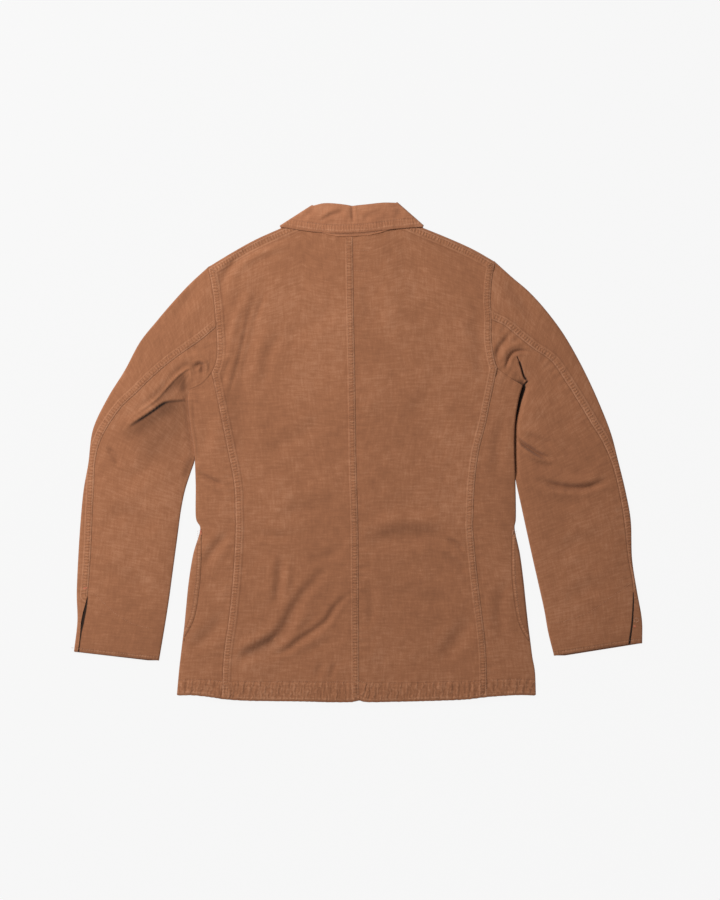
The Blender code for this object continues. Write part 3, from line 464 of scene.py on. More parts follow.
CREASES = creases([
    # left half of the back
    ("trough", 1.9, 10.0, 0.06, [(-138, 272), (-148, 242), (-158, 205), (-168, 156), (-178, 112),
                                 (-186, 62)]),
    ("trough", 1.1, 3.0, 0.06, [(-157, 244), (-163, 222), (-170, 188), (-177, 156), (-184, 128),
                                (-192, 100), (-198, 76), (-201, 58)]),
    ("trough", 1.1, 2.6, 0.06, [(-142, 244), (-146, 228), (-152, 210), (-158, 192)]),
    ("ridge", 1.2, 6.0, 0, [(-172, 250), (-184, 205), (-196, 150), (-203, 112)]),
    ("trough", 0.9, 3.0, 0.04, [(-190, 150), (-196, 136), (-203, 116), (-206, 98)]),
    ("trough", 1.5, 8.0, 0.03, [(-112, 188), (-130, 160), (-139, 130), (-142, 92)]),
    ("trough", 1.0, 16.0, 0.02, [(-14, 236), (-60, 206), (-118, 160)]),
    ("trough", 2.6, 6.5, 0.06, [(-96, 327), (-130, 320), (-164, 306), (-186, 290), (-204, 262),
                                (-207, 226)]),
    ("ridge", 1.2, 6.0, 0, [(-100, 316), (-150, 300), (-184, 276)]),
    ("trough", 1.2, 7.0, 0.03, [(-174, 252), (-181, 230), (-184, 205)]),
    ("trough", 1.0, 12.0, 0.02, [(-40, 60), (-95, 20), (-150, -6)]),
    ("trough", 2.4, 6.5, 0.08, [(-117, -150), (-118, -176), (-121, -204), (-125, -240)]),
    ("ridge", 1.0, 6.0, 0, [(-105, -158), (-107, -190), (-111, -224)]),
    ("trough", 1.4, 7.0, 0.04, [(-150, -118), (-128, -128), (-98, -126)]),
    ("trough", 2.8, 7.0, 0.11, [(-34, -166), (-58, -188), (-80, -212), (-99, -240), (-111, -263),
                                (-127, -283), (-153, -298), (-180, -314), (-196, -322)]),
    ("trough", 2.2, 8.5, 0.14, [(-116, -276), (-134, -292), (-152, -302), (-172, -310), (-190, -316)]),
    ("trough", 1.6, 11.0, 0.08, [(-90, -236), (-110, -276), (-140, -304), (-180, -312)]),
    ("ridge", 1.6, 7.0, 0, [(-66, -228), (-86, -258), (-104, -284), (-134, -306)]),
    ("trough", 2.3, 4.5, 0.11, [(4, -206), (-20, -222), (-36, -238), (-47, -256), (-66, -271), (-88, -286),
                                (-107, -301), (-132, -310), (-146, -316)]),
    ("ridge", 1.2, 6.0, 0, [(-40, -270), (-64, -286), (-90, -302)]),
    ("trough", 1.2, 4.0, 0.05, [(-33, -318), (-38, -332), (-43, -348)]),
    ("trough", 1.1, 4.0, 0.04, [(-54, -318), (-60, -334), (-62, -348)]),
    ("trough", 1.4, 12.0, 0.03, [(-10, -60), (-60, -84), (-130, -92)]),
    ("trough", 1.4, 8.0, 0.04, [(-16, -140), (-50, -160), (-80, -166)]),
    # left side, between its seam and the fold
    ("trough", 2.4, 4.0, 0.08, [(-244, -30), (-230, -40), (-214, -48), (-200, -52)]),
    ("trough", 2.4, 7.0, 0.05, [(-194, -116), (-206, -134), (-222, -154), (-236, -182)]),
    ("trough", 2.1, 11.0, 0.05, [(-204, -234), (-214, -262), (-236, -286), (-256, -306)]),
    ("trough", 1.3, 9.0, 0.03, [(-222, 70), (-232, 20), (-228, -10)]),
    ("trough", 1.6, 16.0, 0.10, [(-178, 110), (-184, 60), (-182, 20), (-176, -20)]),
    ("ridge", 0.8, 2.4, 0, [(-253, 96), (-254, 80), (-252.5, 50), (-247.5, 10), (-245.5, -30)]),
    # right half of the back
    ("trough", 1.1, 16.0, 0.02, [(8, 256), (20, 222), (30, 184)]),
    ("trough", 1.1, 15.0, 0.02, [(112, 92), (70, 62), (14, 32)]),
    ("ridge", 1.0, 14.0, 0, [(20, 4), (66, 62), (106, 124)]),
    ("trough", 1.6, 8.0, 0.04, [(64, 332), (120, 312), (168, 292), (196, 262)]),
    ("trough", 1.2, 10.0, 0.03, [(176, 230), (184, 160), (188, 96)]),
    ("trough", 2.8, 13.0, 0.07, [(2, -142), (40, -132), (76, -128), (110, -128), (150, -142)]),
    ("ridge", 1.4, 11.0, 0, [(16, -114), (80, -104), (140, -114)]),
    ("trough", 2.6, 3.6, 0.10, [(132, -131), (142, -136), (152, -142), (163, -152)]),
    ("trough", 2.2, 5.0, 0.07, [(122, -152), (146, -168), (172, -190)]),
    ("trough", 1.4, 11.0, 0.03, [(30, -200), (90, -222), (150, -226)]),
    ("trough", 1.2, 7.0, 0.03, [(12, -190), (22, -232), (16, -270)]),
    ("trough", 2.0, 11.0, 0.05, [(176, -236), (160, -268), (140, -300), (118, -326)]),
    ("trough", 1.6, 8.0, 0.04, [(226, -190), (214, -240), (222, -290)]),
    ("trough", 1.2, 8.0, 0.03, [(224, 60), (212, 10), (214, -50)]),
    # left sleeve: the fold above the underarm, the lap under it and the hollow beside it
    ("roll", 2.4, 3.4, 0.13, [(-352, 50), (-338, 56), (-323, 66), (-308, 77), (-301, 84), (-293, 93),
                              (-285, 102), (-278, 110), (-270, 117), (-262, 123), (-257, 125.5),
                              (-254, 123), (-254.6, 114), (-259, 106), (-259.5, 100), (-257, 92)]),
    ("ridge", 1.1, 7.0, 0, [(-298, 116), (-276, 136), (-257, 145), (-242, 146), (-229, 136), (-231, 120)]),
    ("lap", 1.6, 3.0, 0.34, [(-352, 37), (-336, 45.6), (-323.8, 53.2), (-308.6, 63.8), (-295, 73.7),
                             (-288, 76.6), (-273.6, 78.3), (-256, 79)]),
    ("trough", 1.3, 1.5, 1.0, [(-349, 38), (-340, 43.4), (-326, 52), (-310, 63), (-300, 70.4), (-292, 74.8),
                               (-280, 77.6)]),
    ("trough", 2.6, 3.6, 0.24, [(-254, 126), (-246, 129), (-239.5, 132), (-236, 128), (-237, 120),
                                (-241, 115)]),
    ("ridge", 1.0, 3.0, 0, [(-243, 138), (-233, 136), (-230.5, 128), (-232, 119)]),
    ("trough", 2.6, 6.5, 0.20, [(-262, 122), (-263, 110), (-263, 98), (-264, 84)]),
    ("trough", 1.6, 6.0, 0.08, [(-266, 110), (-280, 98), (-296, 86), (-312, 72)]),
    ("shadow", 0, 66.0, 0.34, [(-372, 27), (-345, 40), (-323.8, 53.2), (-295, 73.7), (-262, 79),
                               (-236, 82)]),
    ("shadow", 0, 22.0, 0.30, [(-322, 66), (-301, 84), (-285, 102), (-270, 117), (-258, 125)]),
    ("trough", 2.0, 11.0, 0.04, [(-262, 62), (-290, 56), (-322, 36), (-356, 10)]),
    ("trough", 1.2, 6.0, 0.03, [(-262, 150), (-244, 154), (-230, 146)]),
    ("trough", 2.4, 4.0, 0.08, [(-384, 8), (-376, 0), (-368, -10), (-361, -24)]),
    ("trough", 1.6, 6.0, 0.04, [(-244, -4), (-254, -22), (-262, -50)]),
    ("gather", 0.32, 3.4, 0.03, [(-404, -212), (-390, -226), (-372.4, -242.4), (-357.2, -253.1),
                                 (-338, -263), (-306, -272)]),
    ("trough", 1.4, 12.0, 0.03, [(-290, 10), (-330, -30), (-370, -44)]),
    ("trough", 1.4, 14.0, 0.03, [(-300, -120), (-350, -96), (-392, -100)]),
    ("trough", 1.2, 12.0, 0.02, [(-312, -220), (-356, -190), (-394, -184)]),
    ("trough", 1.8, 9.0, 0.03, [(-236, 262), (-262, 226), (-286, 192)]),
    # right sleeve: the slit at the underarm, the arcs round it, and the folds of the elbow
    ("slit", 4.0, 0.75, 1.0, [(241.7, 144.4), (243, 141), (244.7, 137.6), (246.4, 132)]),
    ("slit", 4.0, 1.7, 1.0, [(244.7, 137.6), (248.4, 126.6), (251, 117), (253.6, 111.6), (257.6, 107.2)]),
    ("slit", 3.0, 1.5, 1.0, [(249.0, 94.5), (251.5, 99.5), (254.5, 103.5), (259, 108)]),
    ("trough", 2.4, 2.6, 0.11, [(221, 119), (225, 126), (227.5, 136), (231, 144), (236, 149.6),
                                (244, 152.4), (254, 152), (266, 149)]),
    ("trough", 2.2, 4.0, 0.08, [(211, 134), (212, 150), (216, 160), (223, 168), (231, 182)]),
    ("ridge", 1.9, 4.0, 0, [(217, 130), (220, 142), (227, 155), (239, 161.5), (257, 162)]),
    ("trough", 5.0, 3.2, 0.26, [(236, 24), (246, 16), (254, 9), (263, 3), (276, -5), (298, -14)]),
    ("trough", 2.2, 5.0, 0.06, [(250, 28), (270, 20), (300, 6)]),
    ("ridge", 2.0, 5.0, 0, [(246, 5), (262, -6), (286, -20)]),
    ("trough", 1.6, 6.0, 0.05, [(262, -8), (282, -20), (306, -26)]),
    ("trough", 3.4, 4.5, 0.12, [(262, -36), (280, -45), (304, -53), (330, -56), (352, -54), (372, -46),
                                (386, -36)]),
    ("ridge", 1.8, 7.0, 0, [(270, -28), (300, -40), (340, -44), (376, -34)]),
    ("trough", 1.4, 8.0, 0.03, [(262, -62), (300, -76), (350, -78)]),
    ("trough", 1.4, 10.0, 0.03, [(262, 60), (290, 46), (330, 34)]),
    ("gather", 0.32, 3.4, 0.03, [(418, -197), (398, -211), (377, -225.7), (353.6, -242.4), (326.8, -253.1),
                                 (305.5, -259.2), (284, -262)]),
    ("trough", 1.4, 12.0, 0.03, [(300, -150), (346, -134), (392, -140)]),
    ("trough", 1.2, 13.0, 0.02, [(310, -226), (356, -206), (400, -206)]),
    ("trough", 1.6, 9.0, 0.03, [(220, 262), (246, 232), (272, 196)]),
])
print(len(CREASES), "creases")


# %% [markdown]
# A crease is drawn across its line: a trough or a ridge is a bell curve, a lap is a step that casts its
# edge over what lies beside it, a roll is a crest with a steep side, and a slit is deep and narrow.
# Each one also lays painted shade along its line: in the hollow of a trough or a gather, on the low side of
# a lap or a roll, near black in a slit, and as a broad painted shadow for the kind called shadow. Each one
# fades out towards its two ends.

# %% The shape of a crease
def crease_height(crease, x, y):
    """(height, painted shade) of one crease at these places."""
    path = path_of(crease.points, 3 * MM)
    distance, along, side = path.near(x, y, 4.5 * crease.width)
    found = np.isfinite(distance)
    across = np.where(found, distance, 0) * side / crease.width
    end = 0.12 if crease.kind in ("lap", "slit") else 0.33
    fade = ease(np.minimum(along, path.length - along) / (end * path.length)) * (distance < 4 * crease.width)
    if crease.kind == "lap":
        step = 0.5 + 0.5 * np.tanh(across / 0.35)
        shape = step * np.exp(-np.maximum(across, 0) / 1.9) - 0.45 * hump(across + 1, 1.1)
        mark = hump(across + 0.45, 0.5)
    elif crease.kind == "slit":
        shape = -np.exp(-(across / 1.15) ** 4)
        mark = np.exp(-across ** 4)
    elif crease.kind == "roll":
        low_side = (0.5 - 0.5 * np.tanh(across / 0.3)) * np.exp(np.minimum(across, 0) / 3)
        shape = 0.5 * hump(across, 0.5) - 0.5 * hump(across - 1.9, 1.1) - 0.6 * low_side
        mark = hump(across - 1.6, 0.8) + 0.5 * low_side
    elif crease.kind == "gather":
        shape = pucker(along, 5.2 * MM, 4.0) * hump(across, 1)
        mark = hump(across, 0.4)
    elif crease.kind == "shadow":
        shape = 0 * across
        mark = ease(-across / 0.04) * hump(across, 1)
    else:
        shape = hump(across, 1) - 0.3 * hump(np.abs(across) - 1.9, 1)
        shape = -shape if crease.kind == "trough" else shape
        mark = hump(across, 1)
    # mark is where the painted shade falls: the hollow, the low side, the slit or the shadow band
    return crease.height * shape * fade, crease.ink * mark * fade


def creased(z, rows, x, y):
    """The height with these creases in it, and the painted shade they lay on the cloth."""
    shade = np.zeros(np.shape(x))
    for crease in rows:
        height, dark = crease_height(crease, x, y)
        z, shade = z + height, shade + dark
    return z, shade


# %% [markdown]
# ## Felled seams and hems
# A felled seam folds one panel's edge over the other and sews it down with two rows. Seen from above it is
# a dark ditch, a strip about 10 mm wide that stands proud, and a ladder of puckers where the thread has
# drawn in during washing. The distance from the seam and the length along it give all of that.

# %% Seam lines
FELL, UNDER = 1.0, -1.0         # the panel folded over the seam, and the one that runs on under it
FELL_ROWS = (2.4 * MM, 8.6 * MM)
SEAM_REACH, UNDER_REACH = 26 * MM, 3 * MM


def across_both(table):
    """The path of a table's two sides, from the left end to the right one."""
    return path_of(Smooth(in_metres(table["left"][::-1] + table["right"][1:])))


def seam_paths():
    paths = {"centre_back": path_of(CENTRE), "neck": across_both(BACK_NECK)}
    for side in SIDES:
        paths["side_back_" + side] = path_of(SIDE_BACK[side])
        paths["armhole_" + side] = path_of(ARM[side])
        whole = SLEEVE_BACK[side].last - VENT_ROWS[side]
        paths["sleeve_back_" + side] = path_of(Chain((SLEEVE_BACK[side], 0, whole)))
        paths["shoulder_" + side] = path_of(Smooth(SHOULDER[side].turn(np.arange(5))))
    return paths


SEAMS = seam_paths()
PANEL_SEAMS = {"back_left": {"centre_back": FELL, "neck": UNDER},
               "back_right": {"centre_back": UNDER, "neck": UNDER}}
for side in SIDES:
    side_back, armhole, sleeve_back, shoulder = (
        f"{name}_{side}" for name in ("side_back", "armhole", "sleeve_back", "shoulder"))
    PANEL_SEAMS["back_" + side].update({side_back: FELL, armhole: FELL, shoulder: FELL})
    PANEL_SEAMS["front_" + side] = {side_back: UNDER, shoulder: UNDER, armhole: UNDER}
    PANEL_SEAMS["top_sleeve_" + side] = {armhole: UNDER, sleeve_back: FELL}
    PANEL_SEAMS["under_sleeve_" + side] = {armhole: UNDER, sleeve_back: UNDER}
SEAM_NUMBER = {name: number for number, name in enumerate(SEAMS)}
print("seams:", {name: round(path.length / MM) for name, path in SEAMS.items()})


# %% Puckers and the height of a seam
def uneven(along, size, seed):
    return np.sin(along / size + seed) * 0.5 + np.sin(along / (size * 0.37) + 2.1 * seed) * 0.5


def pucker(along, pitch, seed):
    """An irregular wave along a seam, between about -1 and 1."""
    wave = np.sin(2 * np.pi * along / pitch + 2.2 * uneven(along, 2.6 * pitch, seed))
    return wave * (0.65 + 0.35 * uneven(along, 3.7 * pitch, seed + 5))


def fell_height(t, along, role, seed):
    """Height of a felled seam at the distance t from it, on its fell or on the panel under it."""
    strip = FELL_RISE * (0.05 + 0.95 * ease(t / (2.4 * MM))) * fading(t, FELL_WIDTH, 1.8 * MM)
    for row in FELL_ROWS:
        strip = strip - 0.2 * MM * hump(t - row, 0.9 * MM)
    ditch = -0.08 * MM * np.exp(-t / (1.6 * MM)) - 0.2 * MM * hump(t - 5 * MM, 4 * MM)
    slow = 0.28 * MM * pucker(along, 14 * MM, seed) * fading(t, 8 * MM, 12 * MM)
    return (strip if role == FELL else ditch) + slow


# %% Hem and cuffs
HEM_LINE = Smooth(in_metres([(-275.5, -369.4), (-251.7, -369.0), (-229.1, -371.2), (-197.6, -375.6),
                             (-160.0, -377.6), (-88.2, -378.5), (-40.0, -379.6), (-10.0, -379.2),
                             (1.5, -377.0), (14.0, -379.2), (50.0, -379.0), (96.7, -378.0), (158.7, -375.9),
                             (195.9, -371.8),
                             (242.6, -368.8), (271.0, -369.7)]))
HEM = path_of(HEM_LINE)
CUFF = both(lambda side: path_of(Smooth([line.points[-1] for line in (
    OUTER[side].edge, SLEEVE_BACK[side], INNER[side].edge)])))
CUFF_ROW, EDGE_SLOPE = 4.5 * MM, 13 * MM      # the cuff's stitched line, and how far an edge slopes down
HEM_DEPTHS = np.array([(-275, 21.3), (-172, 28.0), (-35, 29.6), (64, 27.4), (140, 27.4), (193, 24.3),
                       (250, 22.6)]) * MM      # x, and how far the stitched line is from the edge


def hem_depth(x):
    return np.interp(x, HEM_DEPTHS[:, 0], HEM_DEPTHS[:, 1])


def hem_height(above, along, depth):
    lean = 0.5 * uneven(along, 60 * MM, 2.0)
    puckers = pucker(along + lean * above, 9.0 * MM, 3.0) + 0.5 * pucker(along - 0.4 * above, 14.0 * MM, 8.0)
    inside = ease(above / (2.5 * MM)) * fading(above, depth, 1.5 * MM)
    past = fading(above, depth, 9 * MM) * (above >= depth)
    groove = 0.5 * MM * hump(above - depth, 1.0 * MM)
    rise = 0.8 * MM * fading(above - depth, -1 * MM, 2.2 * MM)
    lip = 0.35 * MM * hump(above - 3.6 * MM, 1.4 * MM)
    down = 1.3 * MM * np.exp(-above / EDGE_SLOPE)
    return rise + lip + 0.8 * MM * puckers * (inside + 0.25 * past) - groove - down


def cuff_height(above, along, depth):
    puckers = pucker(along + 0.2 * above, 8.5 * MM, 5.0) * fading(above, 0, 9 * MM)
    down = 1.8 * MM * np.exp(-above / EDGE_SLOPE)
    return 0.25 * MM * puckers + 0.3 * MM * fading(above, depth, 3 * MM) - down


print("hem", round(HEM.length / MM), "mm, cuffs", [round(path.length / MM) for path in CUFF.values()])


# %% [markdown]
# ## The height of each layer
# Beside the body each sleeve is pushed a little way under the body's side fold. There the body lies higher
# and the sleeve is squashed flat, which makes the narrow valley between them; painted shade darkens it
# further.

# %% The upper layer
TUCK_SPAN = {"left": (-16 * MM, 94 * MM), "right": (-50 * MM, 112 * MM)}
TUCK_LIFT = {"left": 1.3 * MM, "right": 2.2 * MM}
SQUASHED, FRONT_LIFT = {"left": 4.7 * MM, "right": 2.3 * MM}, 2.9 * MM
GAP_LEVELS = np.array([-60, -45, 20, 32, 46, 60, 87, 97, 105]) * MM
GAP_WIDTH = {"left": 0 * GAP_LEVELS, "right": np.array([0, 0.6, 1.6, 1.3, 1.8, 3.4, 5.4, 5.2, 2.4]) * MM}
GAP_EDGE = {"left": 2.5 * MM, "right": 1.2 * MM}        # how softly the gap's shade ends
GAP_RISE = {"left": 9.0 * MM, "right": 7.0 * MM}
# how strong the painted shade in the valley beside the body is
GAP_PAINTED_SHADE = {"left": 0.10, "right": 1.0}
FOLDS = {"shoulder": SHOULDER, "side": BODY_FOLD, "outer": OUTER, "inner": INNER}
FOLD_EDGES = both(lambda side: {name: path_of(fold[side].edge) for name, fold in FOLDS.items()})
GROUP_EDGES = {"body": ("shoulder", "side", "outer"), "sleeve": ("shoulder", "side", "outer", "inner")}
NO_SEAM, NO_EDGE = 99 * MM, 60 * MM         # what counts as out of reach
FOLD_REACH, COLLAR_NEAR = 90 * MM, 120 * MM


# %% What every panel reads
def tuck(side, y):
    """How far the sleeve is under the body's side fold at this level, from 0 to 1."""
    low, high = TUCK_SPAN[side]
    return ease((y - low) / (22 * MM)) * ease((high - y) / (16 * MM))


def fold_distance(side, name, x, y):
    return FOLD_EDGES[side][name].near(x, y, FOLD_REACH)[0]


def crown(x):
    """How far the overlapping fronts lift the back."""
    return CROWN * np.exp(-((x - CROWN_X) / CROWN_WIDTH) ** 2 / 2)


def soft_height(group, x, y):
    """The upper layer without its seams."""
    inside = np.minimum.reduce([fold_distance(side, name, x, y)
                                for side in SIDES for name in GROUP_EDGES[group]])
    z = UPPER + crown(x) + SWELL * (1 - np.exp(-inside / SWELL_REACH))
    slow = 0.50 * ripple(x, y, 95 * MM, 11) + 0.28 * ripple(x, y, 38 * MM, 12)
    slow = slow + 0.10 * ripple(x, y, 17 * MM, 13, 9)
    return z + slow * MM * (1 - np.exp(-inside / (22 * MM)))


def upper_layer(panel, x, y):
    """(height, facts) of the upper layer at these places of one panel."""
    group = "sleeve" if "sleeve" in panel else "body"
    z, shade = creased(soft_height(group, x, y), CREASES, x, y)
    best = np.full(np.shape(x), NO_SEAM)
    seam = vectors(NO_SEAM + 0 * x, 0.0, UNDER)
    for name, role in PANEL_SEAMS[panel].items():
        distance, along, _ = SEAMS[name].near(x, y, SEAM_REACH)
        found = np.isfinite(distance)
        t = np.where(found, distance, SEAM_REACH)
        z = z + np.where(found, fell_height(t, along, role, 1.7 * SEAM_NUMBER[name]), 0)
        nearer = found & (t < best) & (t < (SEAM_REACH if role == FELL else UNDER_REACH))
        best = np.where(nearer, t, best)
        seam[nearer] = vectors(t, along, role)[nearer]
    edge = vectors(NO_SEAM + 0 * x, 0.0, HEM_DEPTH)
    hems = [(CUFF[side], cuff_height, CUFF_ROW) for side in SIDES]
    if group == "body":
        hems = [(HEM, hem_height, hem_depth(x))]
    for path, height_of, depth in hems:
        above, along, _ = path.near(x, y, NO_EDGE)
        found = np.isfinite(above)
        z = z + np.where(found, height_of(np.where(found, above, 1.0), along, depth), 0)
        edge[found] = vectors(above, along, depth)[found]
    for side in SIDES:
        window = tuck(side, y)
        if group == "body":
            near = fold_distance(side, "side", x, y)
            z = z + TUCK_LIFT[side] * window * np.exp(-near / (16 * MM))
        else:
            near, _, turn_side = FOLD_EDGES[side]["side"].near(x, y, NO_EDGE)
            beyond = np.where(np.isfinite(near), near * turn_side * -OUTWARD[side], NO_EDGE)
            past_gap = beyond - np.interp(y, GAP_LEVELS, GAP_WIDTH[side])
            z = mix(z, SQUASHED[side], window * fading(past_gap, 0, GAP_RISE[side]))
            # painted shade in the narrow valley where the sleeve goes under the body's side fold
            shade = shade + GAP_PAINTED_SHADE[side] * window * fading(past_gap, -0.4 * MM, GAP_EDGE[side])
    return z, {"seam": seam, "edge": edge, "shade": np.clip(shade, 0, 1)}


# %% [markdown]
# The lower layer lies on the floor. The fronts are lifted where the pockets, the collar and the buttons lie
# between them and the floor, and a few soft ridges stand off it, because cloth that is laid down by hand
# always keeps some.

# %% The lower layer
STEP = 1.5 * MM                # from a panel to what lies on it, middle to middle
BUTTON_RADIUS, BUTTON_THICKNESS, BUTTON_COUNT = 8.8 * MM, 3.0 * MM, 5
TOP_BUTTON, BUTTON_PITCH = 245 * MM, 108 * MM
UNDER_FRONT = {"left": BUTTON_THICKNESS + 0.3 * MM, "right": BUTTON_THICKNESS + 0.3 * MM + STEP}
PLATEAU = {"left": -45 * MM, "right": 30 * MM}
RAMP = {"left": -50 * MM, "right": 60 * MM}
COLLAR_REACH = (-118 * MM, 99 * MM, 235 * MM, 400 * MM)
LIFT_MARGIN, LIFT_RAMP = 45 * MM, 30 * MM
FLOOR_RIDGES = creases([("ridge", height, width, 0, points) for height, width, points in [
    (1.6, 9, [(-200, -60), (-160, -20), (-110, 0)]), (1.3, 11, [(-180, 90), (-130, 130), (-96, 180)]),
    (1.1, 8, [(-150, -250), (-120, -290), (-100, -335)]), (1.5, 10, [(190, -40), (150, -84), (96, -96)]),
    (1.2, 12, [(170, 120), (126, 150), (90, 206)]), (1.0, 8, [(120, -240), (106, -290), (110, -330)]),
    (1.3, 9, [(-300, 120), (-330, 60), (-350, 10)]), (1.1, 10, [(300, 100), (322, 40), (350, -10)]),
    (1.0, 10, [(-320, -120), (-360, -140), (-396, -150)]), (1.0, 10, [(300, -140), (340, -160), (380, -170)]),
]])


def covered(x, y, low_x, high_x, low_y, high_y):
    """1 over a rectangle and round it, coming down to 0 further out."""
    out_x = np.maximum(np.maximum(low_x - x, x - high_x), 0)
    out_y = np.maximum(np.maximum(low_y - y, y - high_y), 0)
    return ease(1 - (np.hypot(out_x, out_y) - LIFT_MARGIN) / LIFT_RAMP)


# %% Its height
def floor_height(x, y):
    return LOWER + sum(np.maximum(crease_height(ridge, x, y)[0], 0) for ridge in FLOOR_RIDGES)


def lower_height(side, x, y):
    pocket_x = sorted((POCKET_FAR[side], OUTWARD[side] * 300 * MM))
    over_pocket = covered(x, y, *pocket_x, POCKET_TOP - POCKET_HEIGHT, POCKET_TOP)
    over_collar = covered(x, y, *COLLAR_REACH)
    over_buttons = ease(1 - (x - PLATEAU[side]) / RAMP[side])
    raised = np.maximum(STEP * np.maximum(over_pocket, over_collar), UNDER_FRONT[side] * over_buttons)
    near = fold_distance(side, "side", x, y)
    over_sleeve = FRONT_LIFT * tuck(side, y) * fading(near, 7 * MM, 24 * MM)
    return floor_height(x, y) + np.maximum(raised, over_sleeve)


# %% [markdown]
# ## From a grid of points to cloth
# Each panel is one grid, made into a mesh with the numbers the canvas shader needs at every point: where it
# lies on the cloth, how far it is from the nearest seam and edge, and how much painted shade it carries.
# Solidify gives the thickness.

# %% Making a piece
PIECES = {}


def grid_normals(points, up):
    across, along = np.gradient(points, axis=1), np.gradient(points, axis=0)
    return unit(np.cross(across, along) + 1e-12) * up


def row_lengths(points, axis):
    return np.linalg.norm(np.diff(points, axis=axis), axis=-1).sum(axis)


def sharpen_rim(mesh):
    """Marks the cut edges sharp, so that the smooth shading doesn't run round them into the thickness."""
    users = np.empty(len(mesh.loops), np.int32)
    mesh.loops.foreach_get("edge_index", users)
    rim = np.bincount(users, minlength=len(mesh.edges)) == 1
    mesh.attributes.new("sharp_edge", "BOOLEAN", "EDGE").data.foreach_set("value", rim)


def cloth(name, points, facts, keep=None):
    """A mesh of the kept cells, with its facts as attributes. It takes the place of the node of its name."""
    rows, columns = points.shape[0], points.shape[1]
    keep = np.ones((rows - 1, columns - 1), bool) if keep is None else keep
    index = np.arange(rows * columns).reshape(rows, columns)
    quads = np.stack([index[:-1, :-1], index[:-1, 1:], index[1:, 1:], index[1:, :-1]], -1)[keep]
    used, quads = np.unique(quads, return_inverse=True)
    mesh = bpy.data.meshes.new(name)
    mesh.from_pydata(points.reshape(-1, 3)[used], [], quads.reshape(-1, 4).tolist())
    for fact, values in facts.items():
        vector = values.ndim == 3
        layer = mesh.attributes.new(fact, "FLOAT_VECTOR" if vector else "FLOAT", "POINT")
        flat = (values.reshape(-1, 3) if vector else values.reshape(-1, 1))[used]
        layer.data.foreach_set("vector" if vector else "value", flat.astype(np.float32).ravel())
    mesh.shade_smooth()
    sharpen_rim(mesh)
    piece = new_object(name + "_cloth", mesh)
    wall = piece.modifiers.new("thickness", "SOLIDIFY")
    wall.thickness, wall.offset = CANVAS_THICK, 0.0
    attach(piece, "root")
    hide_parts(name)
    area = sum(polygon.area for polygon in mesh.polygons)
    width, length = row_lengths(points, 1).max(), row_lengths(points, 0).max()
    area = min(area, width * length)
    PIECES[name] = piece
    print(f"{name}: {len(mesh.polygons)} cells, cut from {width / MM:.0f} x {length / MM:.0f} mm")


def on_cloth(points):
    """Where each point lies on the flat cloth: across and along the panel, in metres."""
    step_across = np.linalg.norm(np.diff(points, axis=1), axis=-1)
    step_along = np.linalg.norm(np.diff(points, axis=0), axis=-1)
    across = np.concatenate([np.zeros((len(points), 1)), np.cumsum(step_across, 1)], 1)
    along = np.concatenate([np.zeros((1, points.shape[1])), np.cumsum(step_along, 0)], 0)
    across = across - across.mean(1, keepdims=True)
    along = np.broadcast_to(along.mean(1, keepdims=True), across.shape)
    return np.stack([across, along, np.zeros_like(across)], -1)


# %% Changing a grid
def underlap(points, facts):
    """Adds a column before the first one, which runs on under the neighbour's fell."""
    first = points[:, :1]
    extra = first + unit(first - points[:, 1:2]) * UNDERLAP
    extra[..., 2] = first[..., 2] - UNDERLAP_DROP
    return np.concatenate([extra, points], 1), each(facts, lambda v: np.concatenate([v[:, :1], v], 1))


def flip(points, facts):
    return np.swapaxes(points, 0, 1), each(facts, lambda v: np.swapaxes(v, 0, 1))


def upside_down(points, facts):
    return points[::-1], each(facts, lambda v: v[::-1])


def held(values, count):
    """The rows, with the last one added this many times more."""
    return np.concatenate([values, np.repeat(values[-1:], count, 0)], 0)


def with_hem(keep, rows):
    """The kept cells after the whole cells of a turned hem, for a grid of this many rows of points."""
    return np.concatenate([np.ones((rows - 1 - len(keep), keep.shape[1]), bool), keep], 0)


def turned_hem(points, facts, cells, up, even=1):
    """Adds rows before the first one that turn round the hem fold and run back inside over some cells."""
    normals = grid_normals(points, up)
    radius = PLY / 2
    outward = unit(points[:1] - points[1:2])
    if even > 1:
        padded = np.pad(outward[0], ((even // 2, even // 2), (0, 0)), "edge")
        outward = unit(sum(padded[k:k + outward.shape[1]] for k in range(even)))[None]
    back = points[cells:0:-2] - PLY * normals[cells:0:-2]
    angles = np.radians([140, 90, 40])[:, None, None]
    turn = points[:1] + outward * radius * np.sin(angles) - normals[:1] * radius * (1 - np.cos(angles))
    rows = list(range(cells, 0, -2)) + [0, 0, 0]
    return np.concatenate([back, turn, points], 0), each(facts, lambda v: np.concatenate([v[rows], v], 0))


# %% [markdown]
# ## The back
# Two halves meet in a felled seam at the centre back. Each half is spread between the centre-back line and
# the line of the side-back seam and armhole. Near the top the rows bend to follow the neck and the
# shoulder.

# %% The two halves of the back
LEVEL_ROWS, BOW_FADE = 12, 1.5
ROW_STEP = 2.1 * MM
HEM_CELLS = 9


def hem_drop(plan, j):
    """Moves the rows below the first table row down to the line of the hem."""
    at = HEM_LINE(np.linspace(0, HEM_LINE.last, 400))
    drop = BODY_ROWS[0].y - np.interp(plan[..., 0], at[:, 0], at[:, 1])
    share = np.maximum(1 - j, 0)[:, None]
    return plan - np.stack([np.zeros_like(plan[..., 0]), share * drop], -1)


